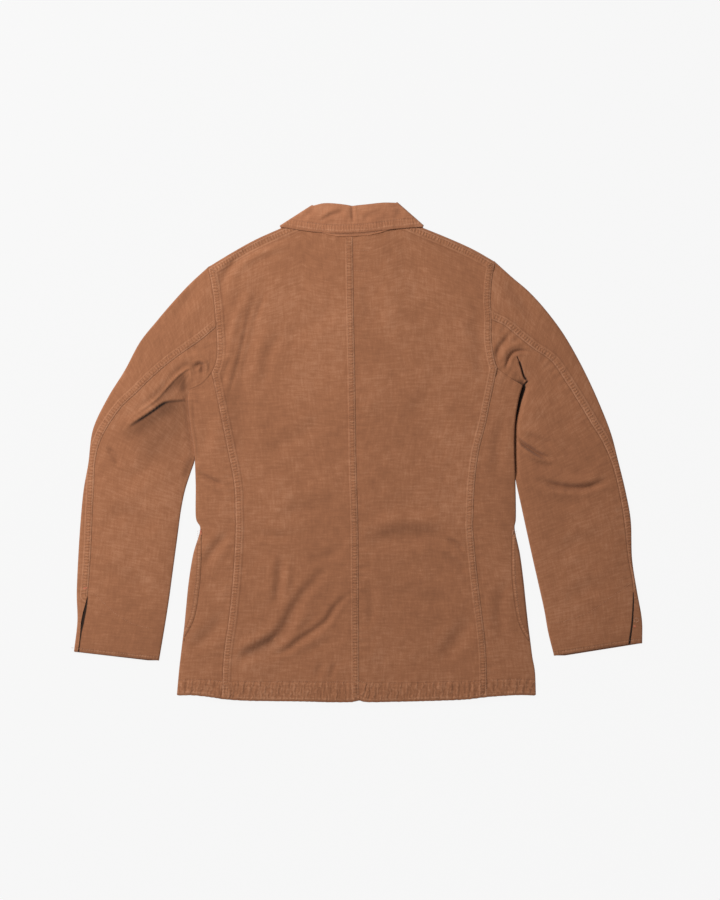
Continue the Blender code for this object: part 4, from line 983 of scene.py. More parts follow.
def back_half(side):
    edge = Chain((SIDE_BACK[side], 0, UNDERARM_ROW), (ARM[side], SIDE_SEAM, 0))
    turn = SHOULDER[side].turn(np.arange(5))
    neck = Smooth(in_metres(BACK_NECK[side]) + [turn[0]])
    top = Chain((neck, 0, 3), (Smooth(turn), 0, 4))
    j = even_places(edge, ROW_STEP)
    share = graded(84)
    rise = np.maximum(j - LEVEL_ROWS, 0) / (edge.last - LEVEL_ROWS)
    plan = mix(CENTRE(j)[:, None], edge(j)[:, None], share[None, :, None])
    plan = plan + bow(top, share * top.last)[None] * (rise ** BOW_FADE)[:, None, None]
    return hem_drop(plan, j)


def make_back(side):
    name = "back_" + side
    plan = back_half(side)
    z, facts = upper_layer(name, plan[..., 0], plan[..., 1])
    points = lift(plan, z)
    facts["cloth"] = on_cloth(points) + (0.4 * OUTWARD[side], 0.3, 0)
    if PANEL_SEAMS[name]["centre_back"] == UNDER:
        points, facts = underlap(points, facts)
    points, facts = turned_hem(points, facts, HEM_CELLS, 1 if side == "right" else -1)
    cloth(name, points, facts)


for side in SIDES:
    make_back(side)

# %% [markdown]
# ## The fronts
# There is no seam at the side. Each front starts at the side-back seam on the upper layer, turns round the
# side fold, and runs below to the centre front. Over the shoulder it turns up to the shoulder seam. One
# grid with some of its cells left out holds all of that.

# %% The two fronts
STRIP, STRIP_CELLS = 2, 30              # from the side-back seam to the fold: table places, and cells
SHOULDER_PLACES, SHOULDER_POINTS, SHOULDER_ROW_STEP = 4, 19, 3.5 * MM
TIP_ROWS = 8            # armhole places from the underarm to the shoulder tip
TOP_ROWS = 3            # places over which the strip's rows bend to follow the armhole
SHADE_ENDS = 4          # columns past the start of a turn where the creases' shade stops


class FrontCut:
    """The lines of one front, read by place: i across it and j up it."""

    def __init__(self, side):
        self.side = side
        self.fold = BODY_FOLD[side]
        self.shoulder = SHOULDER[side]
        self.strip_top = Chain((ARM[side], SIDE_SEAM, TIP_ROWS))
        turn_line = Smooth(self.fold.turn(np.arange(UNDERARM_ROW + 1)))
        self.floor_edge = Chain((turn_line, 0, UNDERARM_ROW), (ARM[side], TIP_ROWS, 0))
        edge_x = CENTRE_FRONT - OUTWARD[side] * OVERLAP
        shoulder_turn = self.shoulder.turn(np.arange(5))
        neckline = [shoulder_turn[0]] + in_metres(FRONT_NECKLINE[side]) + [np.array((edge_x, FRONT_NECK))]
        self.top = Chain((Smooth(shoulder_turn), SHOULDER_PLACES, 0), (Smooth(neckline), 0, 5))
        levels = [FRONT_HEM] + [row.y for row in BODY_ROWS[1:]]
        levels += list(np.linspace(levels[-1], FRONT_NECK, TIP_ROWS + 2)[1:])
        self.opening = Smooth([(edge_x, level) for level in levels])

    def strip_plan(self, i, j):
        turn = self.fold.turn(j)
        near_top = np.maximum(j - UNDERARM_ROW + TOP_ROWS, 0) / TOP_ROWS
        plan = mix(SIDE_BACK[self.side](j)[:, None], turn[:, None], (i / STRIP)[None, :, None])
        plan = plan + bow(self.strip_top, i)[None] * (near_top ** 2)[:, None, None]
        return hem_drop(plan, j)

    def floor_plan(self, u, j):
        rise = np.maximum(j - UNDERARM_ROW + 2, 0) / (TIP_ROWS + 2)
        across = (u / self.top.last)[None, :, None]
        plan = mix(self.floor_edge(j)[:, None], self.opening(j)[:, None], across)
        return plan + bow(self.top, u)[None] * (rise ** BOW_FADE)[:, None, None]


def make_front(side):
    name = "front_" + side
    cut = FrontCut(side)
    rows = even_places(Chain((cut.fold.edge, 0, UNDERARM_ROW)), ROW_STEP)
    over = even_places(Chain((ARM[side], TIP_ROWS, 0)), SHOULDER_ROW_STEP)[1:] + UNDERARM_ROW
    j = np.concatenate([rows, over])
    strip = cut.strip_plan(STRIP * graded(STRIP_CELLS), np.minimum(j, UNDERARM_ROW))
    z, facts = upper_layer(name, strip[..., 0], strip[..., 1])
    u = np.concatenate([np.linspace(0, SHOULDER_PLACES, SHOULDER_POINTS),
                        np.linspace(SHOULDER_PLACES, cut.top.last, SHOULDER_POINTS)[1:]])
    floor = cut.floor_plan(u, j)
    low = lower_height(side, floor[..., 0], floor[..., 1])
    roll = cut.fold.roll(np.minimum(j, UNDERARM_ROW), low[:, 0], z[:, -1])
    points = np.concatenate([lift(strip, z), roll[:, 1:-1], lift(floor, low)], 1)
    start, column = STRIP_CELLS + ROLL_CELLS, np.arange(points.shape[1])
    facts = each(facts, lambda v: v[:, np.minimum(column, STRIP_CELLS)])
    facts["shade"] = facts["shade"] * (column <= STRIP_CELLS + SHADE_ENDS)
    facts["seam"][:, start:] = (NO_SEAM, 0, 0)
    # over the shoulder, up to its seam
    place = SHOULDER_PLACES - u[:SHOULDER_POINTS]
    high, _ = upper_layer(name, *cut.shoulder.turn(place).T)
    roll = cut.shoulder.roll(place, low[-1, :SHOULDER_POINTS], high)
    upwards = np.swapaxes(roll, 0, 1)[-2::-1]
    points, facts = held(points, len(upwards)), each(facts, lambda v: held(v, len(upwards)))
    points[-len(upwards):, start:start + SHOULDER_POINTS] = upwards
    facts["cloth"] = on_cloth(points) + (1.1 * OUTWARD[side], 0.2, 0)
    cells_i, cells_j = column[None, :-1], np.arange(len(points) - 1)[:, None]
    turned = (cells_i >= start) & (cells_i < start + SHOULDER_POINTS - 1)
    keep = np.where(cells_j < len(rows) - 1, True, cells_i >= start)
    keep = np.where(cells_j >= len(j) - 1, turned, keep)
    points, facts = underlap(points, facts)
    keep = np.concatenate([keep[:, :1], keep], 1)
    points, facts = turned_hem(points, facts, HEM_CELLS, 1 if side == "right" else -1)
    cloth(name, points, facts, with_hem(keep, len(points)))


for side in SIDES:
    make_front(side)

# %% [markdown]
# ## The sleeves
# A two-piece sleeve: the top sleeve runs from the back seam over the outer fold and underneath to the front
# seam, and the under sleeve makes the rest. Their rows follow the armhole at the top and the cuff at the
# bottom.

# %% Cutting and making the sleeves
OVER_SEAM = 3
FINE_STEP, FINE_ROWS = 1.3 * MM, 150     # rows lie closer together down to the elbow
VENT_GAP = {"left": 4.8 * MM, "right": 2.8 * MM}
VENT_SHAPE = {    # how far down the vent, and how much of the full gap it has there
    "left": [(0, 0), (0.04, 0.24), (0.14, 0.5), (0.3, 0.9), (0.52, 0.9), (0.66, 0.4), (0.82, 0.28),
             (1, 0.34)],
    "right": [(0, 0), (0.03, 0.3), (0.1, 0.5), (0.4, 0.75), (0.8, 0.9), (1, 1.0)],
}
VENT_DROP, VENT_STRETCH = 1.6 * MM, 0.8     # the under sleeve's edge in the open vent: lower, and drawn out
CUFF_CELLS = 5


class SleeveCut:
    """The lines of one sleeve, read by place j from the armhole down to the cuff."""

    def __init__(self, side):
        self.last = SLEEVE_BACK[side].last
        self.outer, self.inner = OUTER[side], INNER[side]
        self.flat_outer = Smooth(self.outer.turn(np.arange(self.outer.last + 1)))
        turns = self.inner.turn(np.arange(self.inner.last + 1))
        turns[0] = ARM[side](TIP_ROWS)
        self.flat_inner = Chain((ARM[side], SIDE_SEAM, TIP_ROWS), (Smooth(turns), 0, self.inner.last))
        self.cap_outer = Chain((ARM[side], 0, SLEEVE_SEAM))
        self.cap_inner = Chain((ARM[side], SLEEVE_SEAM, SIDE_SEAM))
        self.cap = Chain((ARM[side], 0, SIDE_SEAM))
        fine = even_places(SLEEVE_BACK[side], FINE_STEP)
        self.j = np.concatenate([fine[:FINE_ROWS], fine[FINE_ROWS::2]])
        if self.j[-1] < self.last:
            self.j[-1] = self.last
        self.near_cap = (np.maximum(1 - self.j / CAP_ROWS, 0) ** 2)[:, None, None]
        inset = mix(FRONT_SEAM_START, FRONT_SEAM_INSET, ease((self.j - ARMHOLE_ROWS) / 1.5)) * (self.j > 1)
        self.front_seam = self.flat_inner(self.j) + np.stack([OUTWARD[side] * inset, 0 * inset], 1)
        down = (self.j - self.last + VENT_ROWS[side]) / VENT_ROWS[side]
        self.gap = VENT_GAP[side] / 2 * np.interp(down, *np.array(VENT_SHAPE[side]).T)

    def spread(self, start, end, shares):
        """Rows of points from one line to the other, held back from the vent."""
        width = np.linalg.norm(end - start, axis=-1)
        held = (self.gap / width)[:, None]
        shares = held + (1 - held) * shares[None, :]
        return mix(start[:, None], end[:, None], shares[..., None])


def make_sleeve(part, side):
    """The top sleeve goes round the outer fold, the under sleeve round the inner one, to the front seam."""
    name, top = f"{part}_sleeve_{side}", part == "top"
    cut = SleeveCut(side)
    shares = graded(24) if top else graded(68, 0.25)
    flat_edge = cut.flat_outer(cut.j) if top else cut.flat_inner(cut.j)
    cap = bow(cut.cap_outer, OVER_SEAM * (1 - shares)) if top else bow(cut.cap_inner, OVER_SEAM * shares)
    plan = cut.spread(SLEEVE_BACK[side](cut.j), flat_edge, shares) + cap[None] * cut.near_cap
    z, facts = upper_layer(name, plan[..., 0], plan[..., 1])
    shares = graded(22, 0.2) if top else np.linspace(0, 1, 6)
    floor = mix(flat_edge[:, None], cut.front_seam[:, None], shares[None, :, None])
    if top:
        floor = floor + bow(cut.cap, SIDE_SEAM * shares)[None] * cut.near_cap
    low = floor_height(floor[..., 0], floor[..., 1])
    fold, places = (cut.outer, cut.j) if top else (cut.inner, np.maximum(cut.j - ARMHOLE_ROWS, 0))
    roll = fold.roll(places, low[:, 0], z[:, -1])
    points = np.concatenate([lift(plan, z), roll[:, 1:-1], lift(floor, low)], 1)
    whole = top | (cut.j[:-1] >= ARMHOLE_ROWS)
    finish_sleeve(name, side, points, z.shape[1] - 1, facts, whole, cut.gap)


def finish_sleeve(name, side, points, last, facts, whole, gap):
    """Carries the facts on past the upper layer's last column, and adds underlaps and the turned cuff."""
    column = np.arange(points.shape[1])
    facts = each(facts, lambda v: v[:, np.minimum(column, last)])
    facts["shade"] = facts["shade"] * (column <= last + SHADE_ENDS)
    facts["seam"][:, last + ROLL_CELLS - 1:] = (NO_SEAM, 0, 0)
    facts["cloth"] = on_cloth(points) + (1.9 * OUTWARD[side], 0.9 + 0.1 * len(name), 0)
    keep = whole[:, None] | (column[:-1] < last)[None, :]
    if PANEL_SEAMS[name]["sleeve_back_" + side] == UNDER:
        points, facts = underlap(points, facts)
        keep = np.concatenate([keep[:, :1], keep], 1)
        opened = gap / VENT_GAP[side] * 2
        points[:, 0, 2] -= VENT_DROP * opened
        points[:, 0, :2] += (points[:, 0, :2] - points[:, 1, :2]) * (gap / UNDERLAP * VENT_STRETCH)[:, None]
        # painted shade: near black in the open vent, on the underlap and the under sleeve's first column
        for k, most in ((0, 1.0), (1, 0.95)):
            facts["shade"][:, k] = np.maximum(facts["shade"][:, k], np.minimum(3 * opened, most))
    points, facts = flip(*underlap(*flip(points, facts)))
    keep = np.concatenate([keep[:1], keep], 0)
    points, facts = upside_down(points, facts)
    up = 1 if name.startswith("top") == (side == "right") else -1
    points, facts = turned_hem(points, facts, CUFF_CELLS, up)
    cloth(name, points, facts, with_hem(keep[::-1], len(points)))


for side in SIDES:
    for part in ("top", "under"):
        make_sleeve(part, side)

# %% [markdown]
# ## The collar
# The stand rises from the neck seam to the roll line, and the leaf folds back over it. The leaf is two
# plies sewn together at the outer edge and turned, so two rows of stitches pucker it all along. Both are
# bands that run from one front end, round the side fold and across the back to the other end.

# %% The bands of the collar
BAND_COLUMNS, BAND_FRONT_COLUMNS = 96, 26
COLLAR_DEPTH = 11.5 * MM          # of the stitched band along the outer edge
ROLL_HEM_CELLS, ROLL_EVEN, LEAF_HEM_CELLS = 3, 15, 17     # how far the leaf runs back at its two edges
COLLAR_CREASES = creases([
    ("trough", 1.5, 2.6, 0.13, [(-9.4, 378), (-8.6, 366), (-7.6, 354), (-7.2, 344)]),
    ("trough", 1.3, 3.0, 0.08, [(-62, 346), (-50, 354), (-36, 360), (-16, 364)]),
    ("trough", 1.2, 4.0, 0.04, [(-88, 350), (-76, 360), (-62, 370)]),
    ("ridge", 1.1, 4.0, 0, [(-56, 357), (-40, 366), (-22, 370)]),
    ("ridge", 1.0, 4.0, 0, [(-16, 350), (-18, 360), (-22, 370)]),
    ("trough", 1.2, 4.0, 0.05, [(6, 348), (18, 358), (40, 362)]),
    ("trough", 1.0, 5.0, 0.04, [(52, 350), (62, 360), (66, 372)]),
    ("ridge", 0.9, 6.0, 0, [(74, 350), (60, 358), (46, 368)]),
])


class Band:
    """One side of a collar band, read by place: step along it from the centre back, share across it."""

    def __init__(self, side, backs, fronts, outwards):
        self.inner, self.outer = (Smooth(in_metres(line[side])) for line in backs)
        self.ways = [np.array(way) * (OUTWARD[side], 1.0) for way in outwards]
        self.fronts = [in_metres(line[side]) for line in fronts]

    def corner(self, share):
        return mix(self.inner.points[-1], self.outer.points[-1], share[:, None])

    def outward(self, share):
        return unit(mix(self.ways[0], self.ways[1], share[:, None]))

    def turn(self, share):
        return self.corner(share) - self.outward(share) * (EDGE_RADIUS + CLOTH / 2)

    def back_plan(self, step, share):
        """On the upper layer: rows of share, columns of step."""
        end = self.turn(share)
        plan = mix(self.inner(step)[None], self.outer(step)[None], share[:, None, None])
        short = end - self.corner(share)
        return plan + (step / self.inner.last)[None, :, None] ** 2 * short[:, None]

    def front_plan(self, place, share):
        inner = Smooth([self.turn(np.zeros(1))[0]] + self.fronts[0])
        outer = Smooth([self.turn(np.ones(1))[0]] + self.fronts[1])
        return mix(inner(place)[None], outer(place)[None], share[:, None, None])


def band_half(side, backs, fronts, outwards, on_floor, share, height_of):
    """Points and facts of one half, columns from the centre back to the front end."""
    band = Band(side, backs, fronts, outwards)
    plan = band.back_plan(np.linspace(0, band.inner.last, BAND_COLUMNS), share)
    z, facts = height_of(plan[..., 0], plan[..., 1], share[:, None] + 0 * plan[..., 0])
    floor = band.front_plan(np.linspace(0, 4, BAND_FRONT_COLUMNS), share)
    x, y = floor[..., 0], floor[..., 1]
    low = floor_height(x, y) if on_floor else lower_height(side, x, y)
    roll = half_turn(band.turn(share), band.outward(share), low[:, 0], z[:, -1])
    points = np.concatenate([lift(plan, z), roll[:, 1:-1], lift(floor, low)], 1)
    columns = np.minimum(np.arange(points.shape[1]), BAND_COLUMNS - 1)
    return points, each(facts, lambda v: v[:, columns])


def collar_facts(above, along, depth):
    return {"edge": vectors(above, along, depth), "seam": vectors(NO_SEAM + 0 * above, 0.0, 0.0)}


# %% Heights of the collar
NECK_LAP = 0.9 * MM             # how far the stand's edge reaches over the back
OUTER_EDGE, ROLL_EDGE = across_both(OUTER_EDGE_BACK), across_both(ROLL_LINE_BACK)
LEAF_SIDE = both(lambda side: Path(in_metres([ROLL_LINE_BACK[side][-1], OUTER_EDGE_BACK[side][-1]])))


def under_collar(x, y):
    """The height that the collar is laid on: the back, carried on past the neck."""
    return UPPER + crown(x) + SWELL + 0.5 * MM * ripple(x, y, 95 * MM, 11)


def side_fall(x, y):
    """How far the collar comes down towards its two side folds."""
    side_edge = np.minimum(*(LEAF_SIDE[s].near(x, y, FOLD_REACH)[0] for s in SIDES))
    return (SWELL - 0.3 * MM) * np.exp(-side_edge / (12 * MM))


def leaf_height(x, y, share):
    roll = ROLL_EDGE.near(x, y, COLLAR_NEAR)[0]
    above, along, _ = OUTER_EDGE.near(x, y, COLLAR_NEAR)
    above, along, roll = (np.where(np.isfinite(v), v, NO_EDGE) for v in (above, along, roll))
    z = under_collar(x, y) + STEP + 1.2 * MM * np.sin(np.pi * np.clip(share, 0, 1)) - side_fall(x, y)
    z = z - 2.6 * MM * np.exp(-roll / (5 * MM))
    puckers = pucker(along + 0.15 * above, 4.6 * MM, 4.0) + 0.6 * pucker(along - 0.2 * above, 8 * MM, 9.0)
    z = z + 0.17 * MM * puckers * ease(above / (2 * MM)) * fading(above, COLLAR_DEPTH, 7 * MM)
    z = z + 0.35 * MM * fading(above, COLLAR_DEPTH, 3 * MM) - 0.25 * MM * hump(above - COLLAR_DEPTH, 0.9 * MM)
    z = z + 0.35 * MM * ripple(x, y, 30 * MM, 21) * (1 - np.exp(-roll / (6 * MM)))
    z, shade = creased(z, COLLAR_CREASES, x, y)
    facts = collar_facts(above, along, COLLAR_DEPTH)
    facts["shade"] = np.clip(shade, 0, 1)
    return z, facts


def stand_height(x, y, share):
    away, _, side = SEAMS["neck"].near(x, y, COLLAR_NEAR)
    above = np.where(np.isfinite(away), away * side, NO_EDGE) + NECK_LAP
    facts = collar_facts(above + NO_SEAM, 0 * x, HEM_DEPTH)
    # painted shade on the stand, deepening towards the roll line where the leaf lies over it
    facts["shade"] = 0.34 * ease((above - NECK_LAP - 0.8 * MM) / (3 * MM))
    z = under_collar(x, y) + 0.9 * MM - 0.7 * MM * ease(share / 0.3) - 3.2 * MM * np.maximum(share, 0) ** 6
    return z - side_fall(x, y) * ease((share - 0.3) / 0.5), facts


# %% Making the collar
def make_band(name, *cut):
    (left, left_facts), (right, right_facts) = (band_half(side, *cut) for side in SIDES)
    points = np.concatenate([left[:, :0:-1], right], 1)
    facts = {fact: np.concatenate([left_facts[fact][:, :0:-1], right_facts[fact]], 1) for fact in left_facts}
    facts["cloth"] = on_cloth(points) + (0, 2.6 + 0.3 * (name == "collar"), 0)
    return points, facts


def make_collar():
    neck = both(lambda side: BACK_NECK[side] + SHOULDER_LINE[side][:1])
    share = np.concatenate([[-0.02], np.linspace(0, 0.95, 14)])
    points, facts = make_band("collar_stand", (neck, ROLL_LINE_BACK), (FRONT_NECKLINE, ROLL_LINE_FRONT),
                              (NECK_OUTWARD, ROLL_OUTWARD), False, share, stand_height)
    cloth("collar_stand", points, facts)
    share = graded(22, 0.3)
    points, facts = make_band("collar", (ROLL_LINE_BACK, OUTER_EDGE_BACK),
                              (ROLL_LINE_FRONT, OUTER_EDGE_FRONT),
                              (ROLL_OUTWARD, EDGE_OUTWARD), True, share, leaf_height)
    # the roll: from the leaf round into the stand
    points, facts = turned_hem(points, facts, ROLL_HEM_CELLS, -1, ROLL_EVEN)
    points, facts = upside_down(points, facts)
    points, facts = turned_hem(points, facts, LEAF_HEM_CELLS, 1)
    cloth("collar", points, facts)


make_collar()

# %% [markdown]
# ## The pockets
# A patch pocket lies on each front and wraps round the side fold, so its edge shows on the back. It is the
# front's own surface moved out by one layer, from the line of its edge round the fold and below to its far
# edge.

# %% Making the pockets
POCKET_ROW_DEPTH, POCKET_RAISE = 6 * MM, 1.2 * MM
POCKET_OVER, POCKET_UNDER = 13, 15      # columns of points on the upper layer, and below


def pocket_inset(y):
    """How far the rounded lower corner has drawn the side edge in, at this level."""
    into = np.maximum(POCKET_TOP - POCKET_HEIGHT + POCKET_CORNER - y, 0)
    return POCKET_CORNER - np.sqrt(np.maximum(POCKET_CORNER ** 2 - into ** 2, 0))


def pocket_height(side, x, y):
    """The underside layer of the pocket, between the front and the floor."""
    return np.maximum(lower_height(side, x, y) - STEP, LOWER)


def pocket_floor(side, near_x, level):
    """The pocket under the front: a row at each level, from near_x to the far edge."""
    far = POCKET_FAR[side] + OUTWARD[side] * pocket_inset(level)
    x = mix(near_x[:, None], far[:, None], np.linspace(0, 1, POCKET_UNDER)[None])
    return vectors(x, level[:, None], pocket_height(side, x, level[:, None] + 0 * x))


def make_pocket(side):
    cut = FrontCut(side)
    j = np.linspace(POCKET_ROW, POCKET_LAST_ROW, 86)
    turn = cut.fold.turn(j)
    line = Smooth(in_metres(POCKET_EDGE[side]))(np.linspace(0, len(POCKET_EDGE[side]) - 1, 300))
    edge_x = np.interp(-turn[:, 1], -line[:, 1], line[:, 0])
    x = mix(edge_x[:, None], turn[:, :1], np.linspace(0, 1, POCKET_OVER)[None])
    y = turn[:, 1:] + 0 * x
    z, facts = upper_layer("front_" + side, x, y)
    above, along, _ = Path(line).near(x, y, 40 * MM)
    puckers = 0.22 * MM * pucker(along, 6.8 * MM, 2.0) * fading(above, POCKET_ROW_DEPTH, 5 * MM)
    raised = POCKET_RAISE * (0.25 + 0.75 * ease(above / (5 * MM)))
    over, floor = vectors(x, y, z + raised + puckers), pocket_floor(side, turn[:, 0], turn[:, 1])
    roll = cut.fold.roll(j, floor[:, 0, 2], over[:, -1, 2], EDGE_RADIUS + POCKET_RAISE * 0.8)
    points = np.concatenate([over, roll[:, 1:-1], floor], 1)
    facts["edge"] = vectors(above, along, POCKET_ROW_DEPTH)
    facts["seam"][:] = (NO_SEAM, 0, 0)
    # painted shade: a dark line along the pocket's own edge, where it stands above the front
    facts["shade"] = np.maximum(facts["shade"], 0.42 * fading(above, 0, 1.8 * MM))
    columns = np.minimum(np.arange(points.shape[1]), POCKET_OVER - 1)
    facts = each(facts, lambda v: v[:, columns])
    facts["shade"][:, POCKET_OVER + SHADE_ENDS:] = 0
    facts["edge"][:, POCKET_OVER + SHADE_ENDS:] = (NO_SEAM, 0, HEM_DEPTH)
    facts["cloth"] = on_cloth(points) + (0.7 * OUTWARD[side], 3.4, 0)
    # the rounded lower corner, below the place where the edge has passed the fold
    level = mix(turn[-1, 1], POCKET_TOP - POCKET_HEIGHT, np.sin(np.linspace(0, np.pi / 2, 12)[1:]))
    near_x = turn[-1, 0] - OUTWARD[side] * (pocket_inset(level) - pocket_inset(turn[-1, 1]))
    rows, corner = len(points), pocket_floor(side, near_x, level)
    points, facts = held(points, len(corner)), each(facts, lambda v: held(v, len(corner)))
    points[rows:, -POCKET_UNDER:] = corner
    keep = np.ones((len(points) - 1, points.shape[1] - 1), bool)
    keep[rows - 1:, :1 - POCKET_UNDER] = False
    cloth("pocket_" + side, points, facts, keep)


for side in SIDES:
    make_pocket(side)

# %% [markdown]
# ## The stitches
# Every seam, hem and edge is sewn with cotton thread that matches the canvas. A stitch is a short lozenge,
# sunk a little at both ends as thread is where it goes through the cloth. A row follows its seam at a fixed
# distance and takes its height from the panel. All the rows of one thread are joined into one mesh.

# %% Rows of stitches
STITCH_PITCH, STITCH_LENGTH, STITCH_WIDTH, STITCH_RISE = 3.2 * MM, 2.5 * MM, 0.62 * MM, 0.28 * MM
STITCH_LIFT, STITCH_SINK = 0.1 * MM, 0.15 * MM      # the row above the cloth, and its ends below the row
STITCHES = {"thread": [], "red thread": []}


def beside(path, gap, start=0.0, stop=None):
    """Places at even distances along a path and a gap to its left, between two lengths along it."""
    stop = path.length if stop is None else stop
    at = np.linspace(start, stop, max(int((stop - start) / STITCH_PITCH), 1) + 1)
    line = np.stack([np.interp(at, path.starts, path.points[:, k]) for k in range(2)], 1)
    way = unit(np.gradient(line, axis=0))
    return line + gap * np.stack([-way[:, 1], way[:, 0]], 1)


def sew(places, height, kind="thread", up=1.0, turn=False, length=STITCH_LENGTH):
    """A row of stitches at these places. height gives the cloth's outer face, and up is -1 underneath."""
    places = np.asarray(places, float)
    points = np.concatenate([places, np.asarray(height(places[:, 0], places[:, 1]), float)[:, None]], 1)
    points = points + (0, 0, up * STITCH_LIFT)
    way = unit(np.gradient(points, axis=0))
    if turn:
        way = np.stack([-way[:, 1], way[:, 0], 0 * way[:, 0]], 1)
    across = unit(np.cross(way, (0, 0, up)))
    tips = way * length / 2
    sunk = np.array((0, 0, -up * STITCH_SINK))
    corners = [points + tips + sunk, points + across * STITCH_WIDTH / 2, points + (0, 0, up * STITCH_RISE),
               points - across * STITCH_WIDTH / 2, points + 2 * sunk, points - tips + sunk]
    STITCHES[kind].append(np.stack(corners, 1))


def on_panel(panel, raised=0.0):
    return lambda x, y: upper_layer(panel, x, y)[0] + CANVAS_THICK / 2 + raised


def on_leaf(x, y):
    roll, above = ROLL_EDGE.near(x, y, COLLAR_NEAR)[0], OUTER_EDGE.near(x, y, COLLAR_NEAR)[0]
    return leaf_height(x, y, roll / (roll + above))[0] + CANVAS_THICK / 2


def under_front(side):
    return lambda x, y: lower_height(side, x, y) - CANVAS_THICK / 2


def under_pocket(side):
    return lambda x, y: pocket_height(side, x, y) - CANVAS_THICK / 2


def on_top(side, places):
    """The places of a sleeve that haven't yet gone round its outer fold."""
    away, _, turn_side = FOLD_EDGES[side]["outer"].near(places[:, 0], places[:, 1], 200 * MM)
    return places[away * turn_side * -OUTWARD[side] > 1.6 * MM]


# %% Sewing the seams and the edges
LEFT_OF_SEAM = {"side_back": 1.0, "armhole": -1.0, "sleeve_back": 1.0, "shoulder": -1.0}   # on the right
FACING_LINE = {
    "left": [(-398.5, -216.6), (-386.8, -228.8), (-372.4, -242.4), (-357.2, -253.1), (-341.5, -261.5),
             (-318, -268)],
    "right": [(411.9, -201.4), (377.0, -225.7), (353.6, -242.4), (326.8, -253.1), (305.5, -259.2),
              (290.3, -260.7)],
}
LABEL_ROWS = (305.5, 274.4)
EDGE_GAP = 4 * MM               # from an edge to the row beside it, and from a row's end to the edge


def sew_seams():
    """Two rows on the fell of every seam."""
    rows = [("centre_back", "back_left", 1.0)]
    for side in SIDES:
        for kind, way in LEFT_OF_SEAM.items():
            panel = "top_sleeve_" if kind == "sleeve_back" else "back_"
            rows.append((f"{kind}_{side}", panel + side, way * OUTWARD[side]))
    for name, panel, way in rows:
        path = SEAMS[name]
        stop = path_of(Chain((ARM[panel[5:]], 0, SIDE_SEAM))).length if "armhole" in name else path.length
        for row in FELL_ROWS:
            places = beside(path, way * row, 4 * MM, stop - 3 * MM)
            sew(on_top(panel[11:], places) if "sleeve" in name else places, on_panel(panel))
    sew(beside(SEAMS["neck"], 1.4 * MM, 5 * MM, SEAMS["neck"].length - 5 * MM),
        lambda x, y: stand_height(x, y, 0.0)[0] + CANVAS_THICK / 2)


def sew_edges():
    row = beside(HEM, 0.0, 6 * MM, HEM.length - 6 * MM)
    row[:, 1] += hem_depth(row[:, 0])
    sew(row, on_panel("back_left"))
    for depth, end in ((2.6 * MM, 8 * MM), (COLLAR_DEPTH, 21 * MM)):
        sew(beside(OUTER_EDGE, depth, end, OUTER_EDGE.length - end), on_leaf)
    for side in SIDES:
        sleeve = on_panel("under_sleeve_" + side)
        sew(beside(CUFF[side], OUTWARD[side] * -CUFF_ROW, 3 * MM, CUFF[side].length - 3 * MM), sleeve)
        sew(beside(path_of(Smooth(in_metres(FACING_LINE[side]))), 0.0), sleeve)
        edge = path_of(Smooth(in_metres(POCKET_EDGE[side])))
        sew(beside(edge, OUTWARD[side] * POCKET_ROW_DEPTH, 4 * MM, 0.74 * edge.length),
            on_panel("front_" + side, POCKET_RAISE))
        bottom = POCKET_TOP - POCKET_HEIGHT
        near_side, inner = OUTWARD[side] * 225 * MM, POCKET_FAR[side] + OUTWARD[side] * POCKET_ROW_DEPTH
        outline = [(near_side, bottom + POCKET_ROW_DEPTH),
                   (inner + OUTWARD[side] * POCKET_CORNER, bottom + POCKET_ROW_DEPTH),
                   (inner + OUTWARD[side] * POCKET_CORNER * 0.3, bottom + POCKET_CORNER * 0.36),
                   (inner, bottom + POCKET_CORNER * 1.1), (inner, POCKET_TOP - EDGE_GAP)]
        sew(beside(path_of(Smooth(outline)), 0.0), under_pocket(side), up=-1.0)
        for depth in (20 * MM, 24 * MM):
            mouth = Path([(inner, POCKET_TOP - depth), (near_side, POCKET_TOP - depth)])
            sew(beside(mouth, 0.0), under_pocket(side), up=-1.0)
        open_x = CENTRE_FRONT - OUTWARD[side] * (OVERLAP - EDGE_GAP)
        opening = Path([(open_x, FRONT_HEM + EDGE_GAP), (open_x, FRONT_NECK - EDGE_GAP)])
        sew(beside(opening, 0.0), under_front(side), up=-1.0)
    for level in LABEL_ROWS:
        sew(beside(Path(in_metres([(-5.0, level), (15.2, level - 0.8)])), 0.0), on_panel("back_right"))


sew_seams()
sew_edges()

# %% Bartacks, the ring at the cuff and the buttonholes
BARTACKS = [("top_sleeve_left", "red thread", (-413.7, -207.6), (0.95, 0.2), 2.7),
            ("front_left", "red thread", (-238.4, -123.0), (-0.1, 1.0), 3.4),
            ("top_sleeve_right", "red thread", (420.0, -265.2), (1.0, 0.0), 1.6),
            ("front_right", "thread", (235.2, -122.4), (0.1, 1.0), 3.4)]
RING_PLACE, RING_SIZE = (422.9, -255.8), (3.8, 3.0)
BUTTON_LEVELS = [TOP_BUTTON - k * BUTTON_PITCH for k in range(BUTTON_COUNT)]
HOLE_PLACE, DISH_DEPTH = 2.0 * MM, 0.7 * MM
HOLE_ACROSS = HOLE_PLACE / 2 ** 0.5         # the holes lie at the corners of a square


def sew_bartacks():
    for panel, kind, place, way, half in BARTACKS:
        line = np.array(place) * MM + np.linspace(-half, half, 15)[:, None] * MM * unit(way)
        raised = POCKET_RAISE if panel.startswith("front") else 0.0
        sew(line, on_panel(panel, raised), kind, turn=True, length=3.6 * MM)


def sew_loop(centre, size, height, up=1.0):
    """A worked loop: stitches set across an oval, close together."""
    angle = np.linspace(0, 2 * np.pi, 40)
    oval = np.array(centre) + np.array(size) * vectors(np.cos(angle), np.sin(angle))
    sew(oval, height, up=up, turn=True)


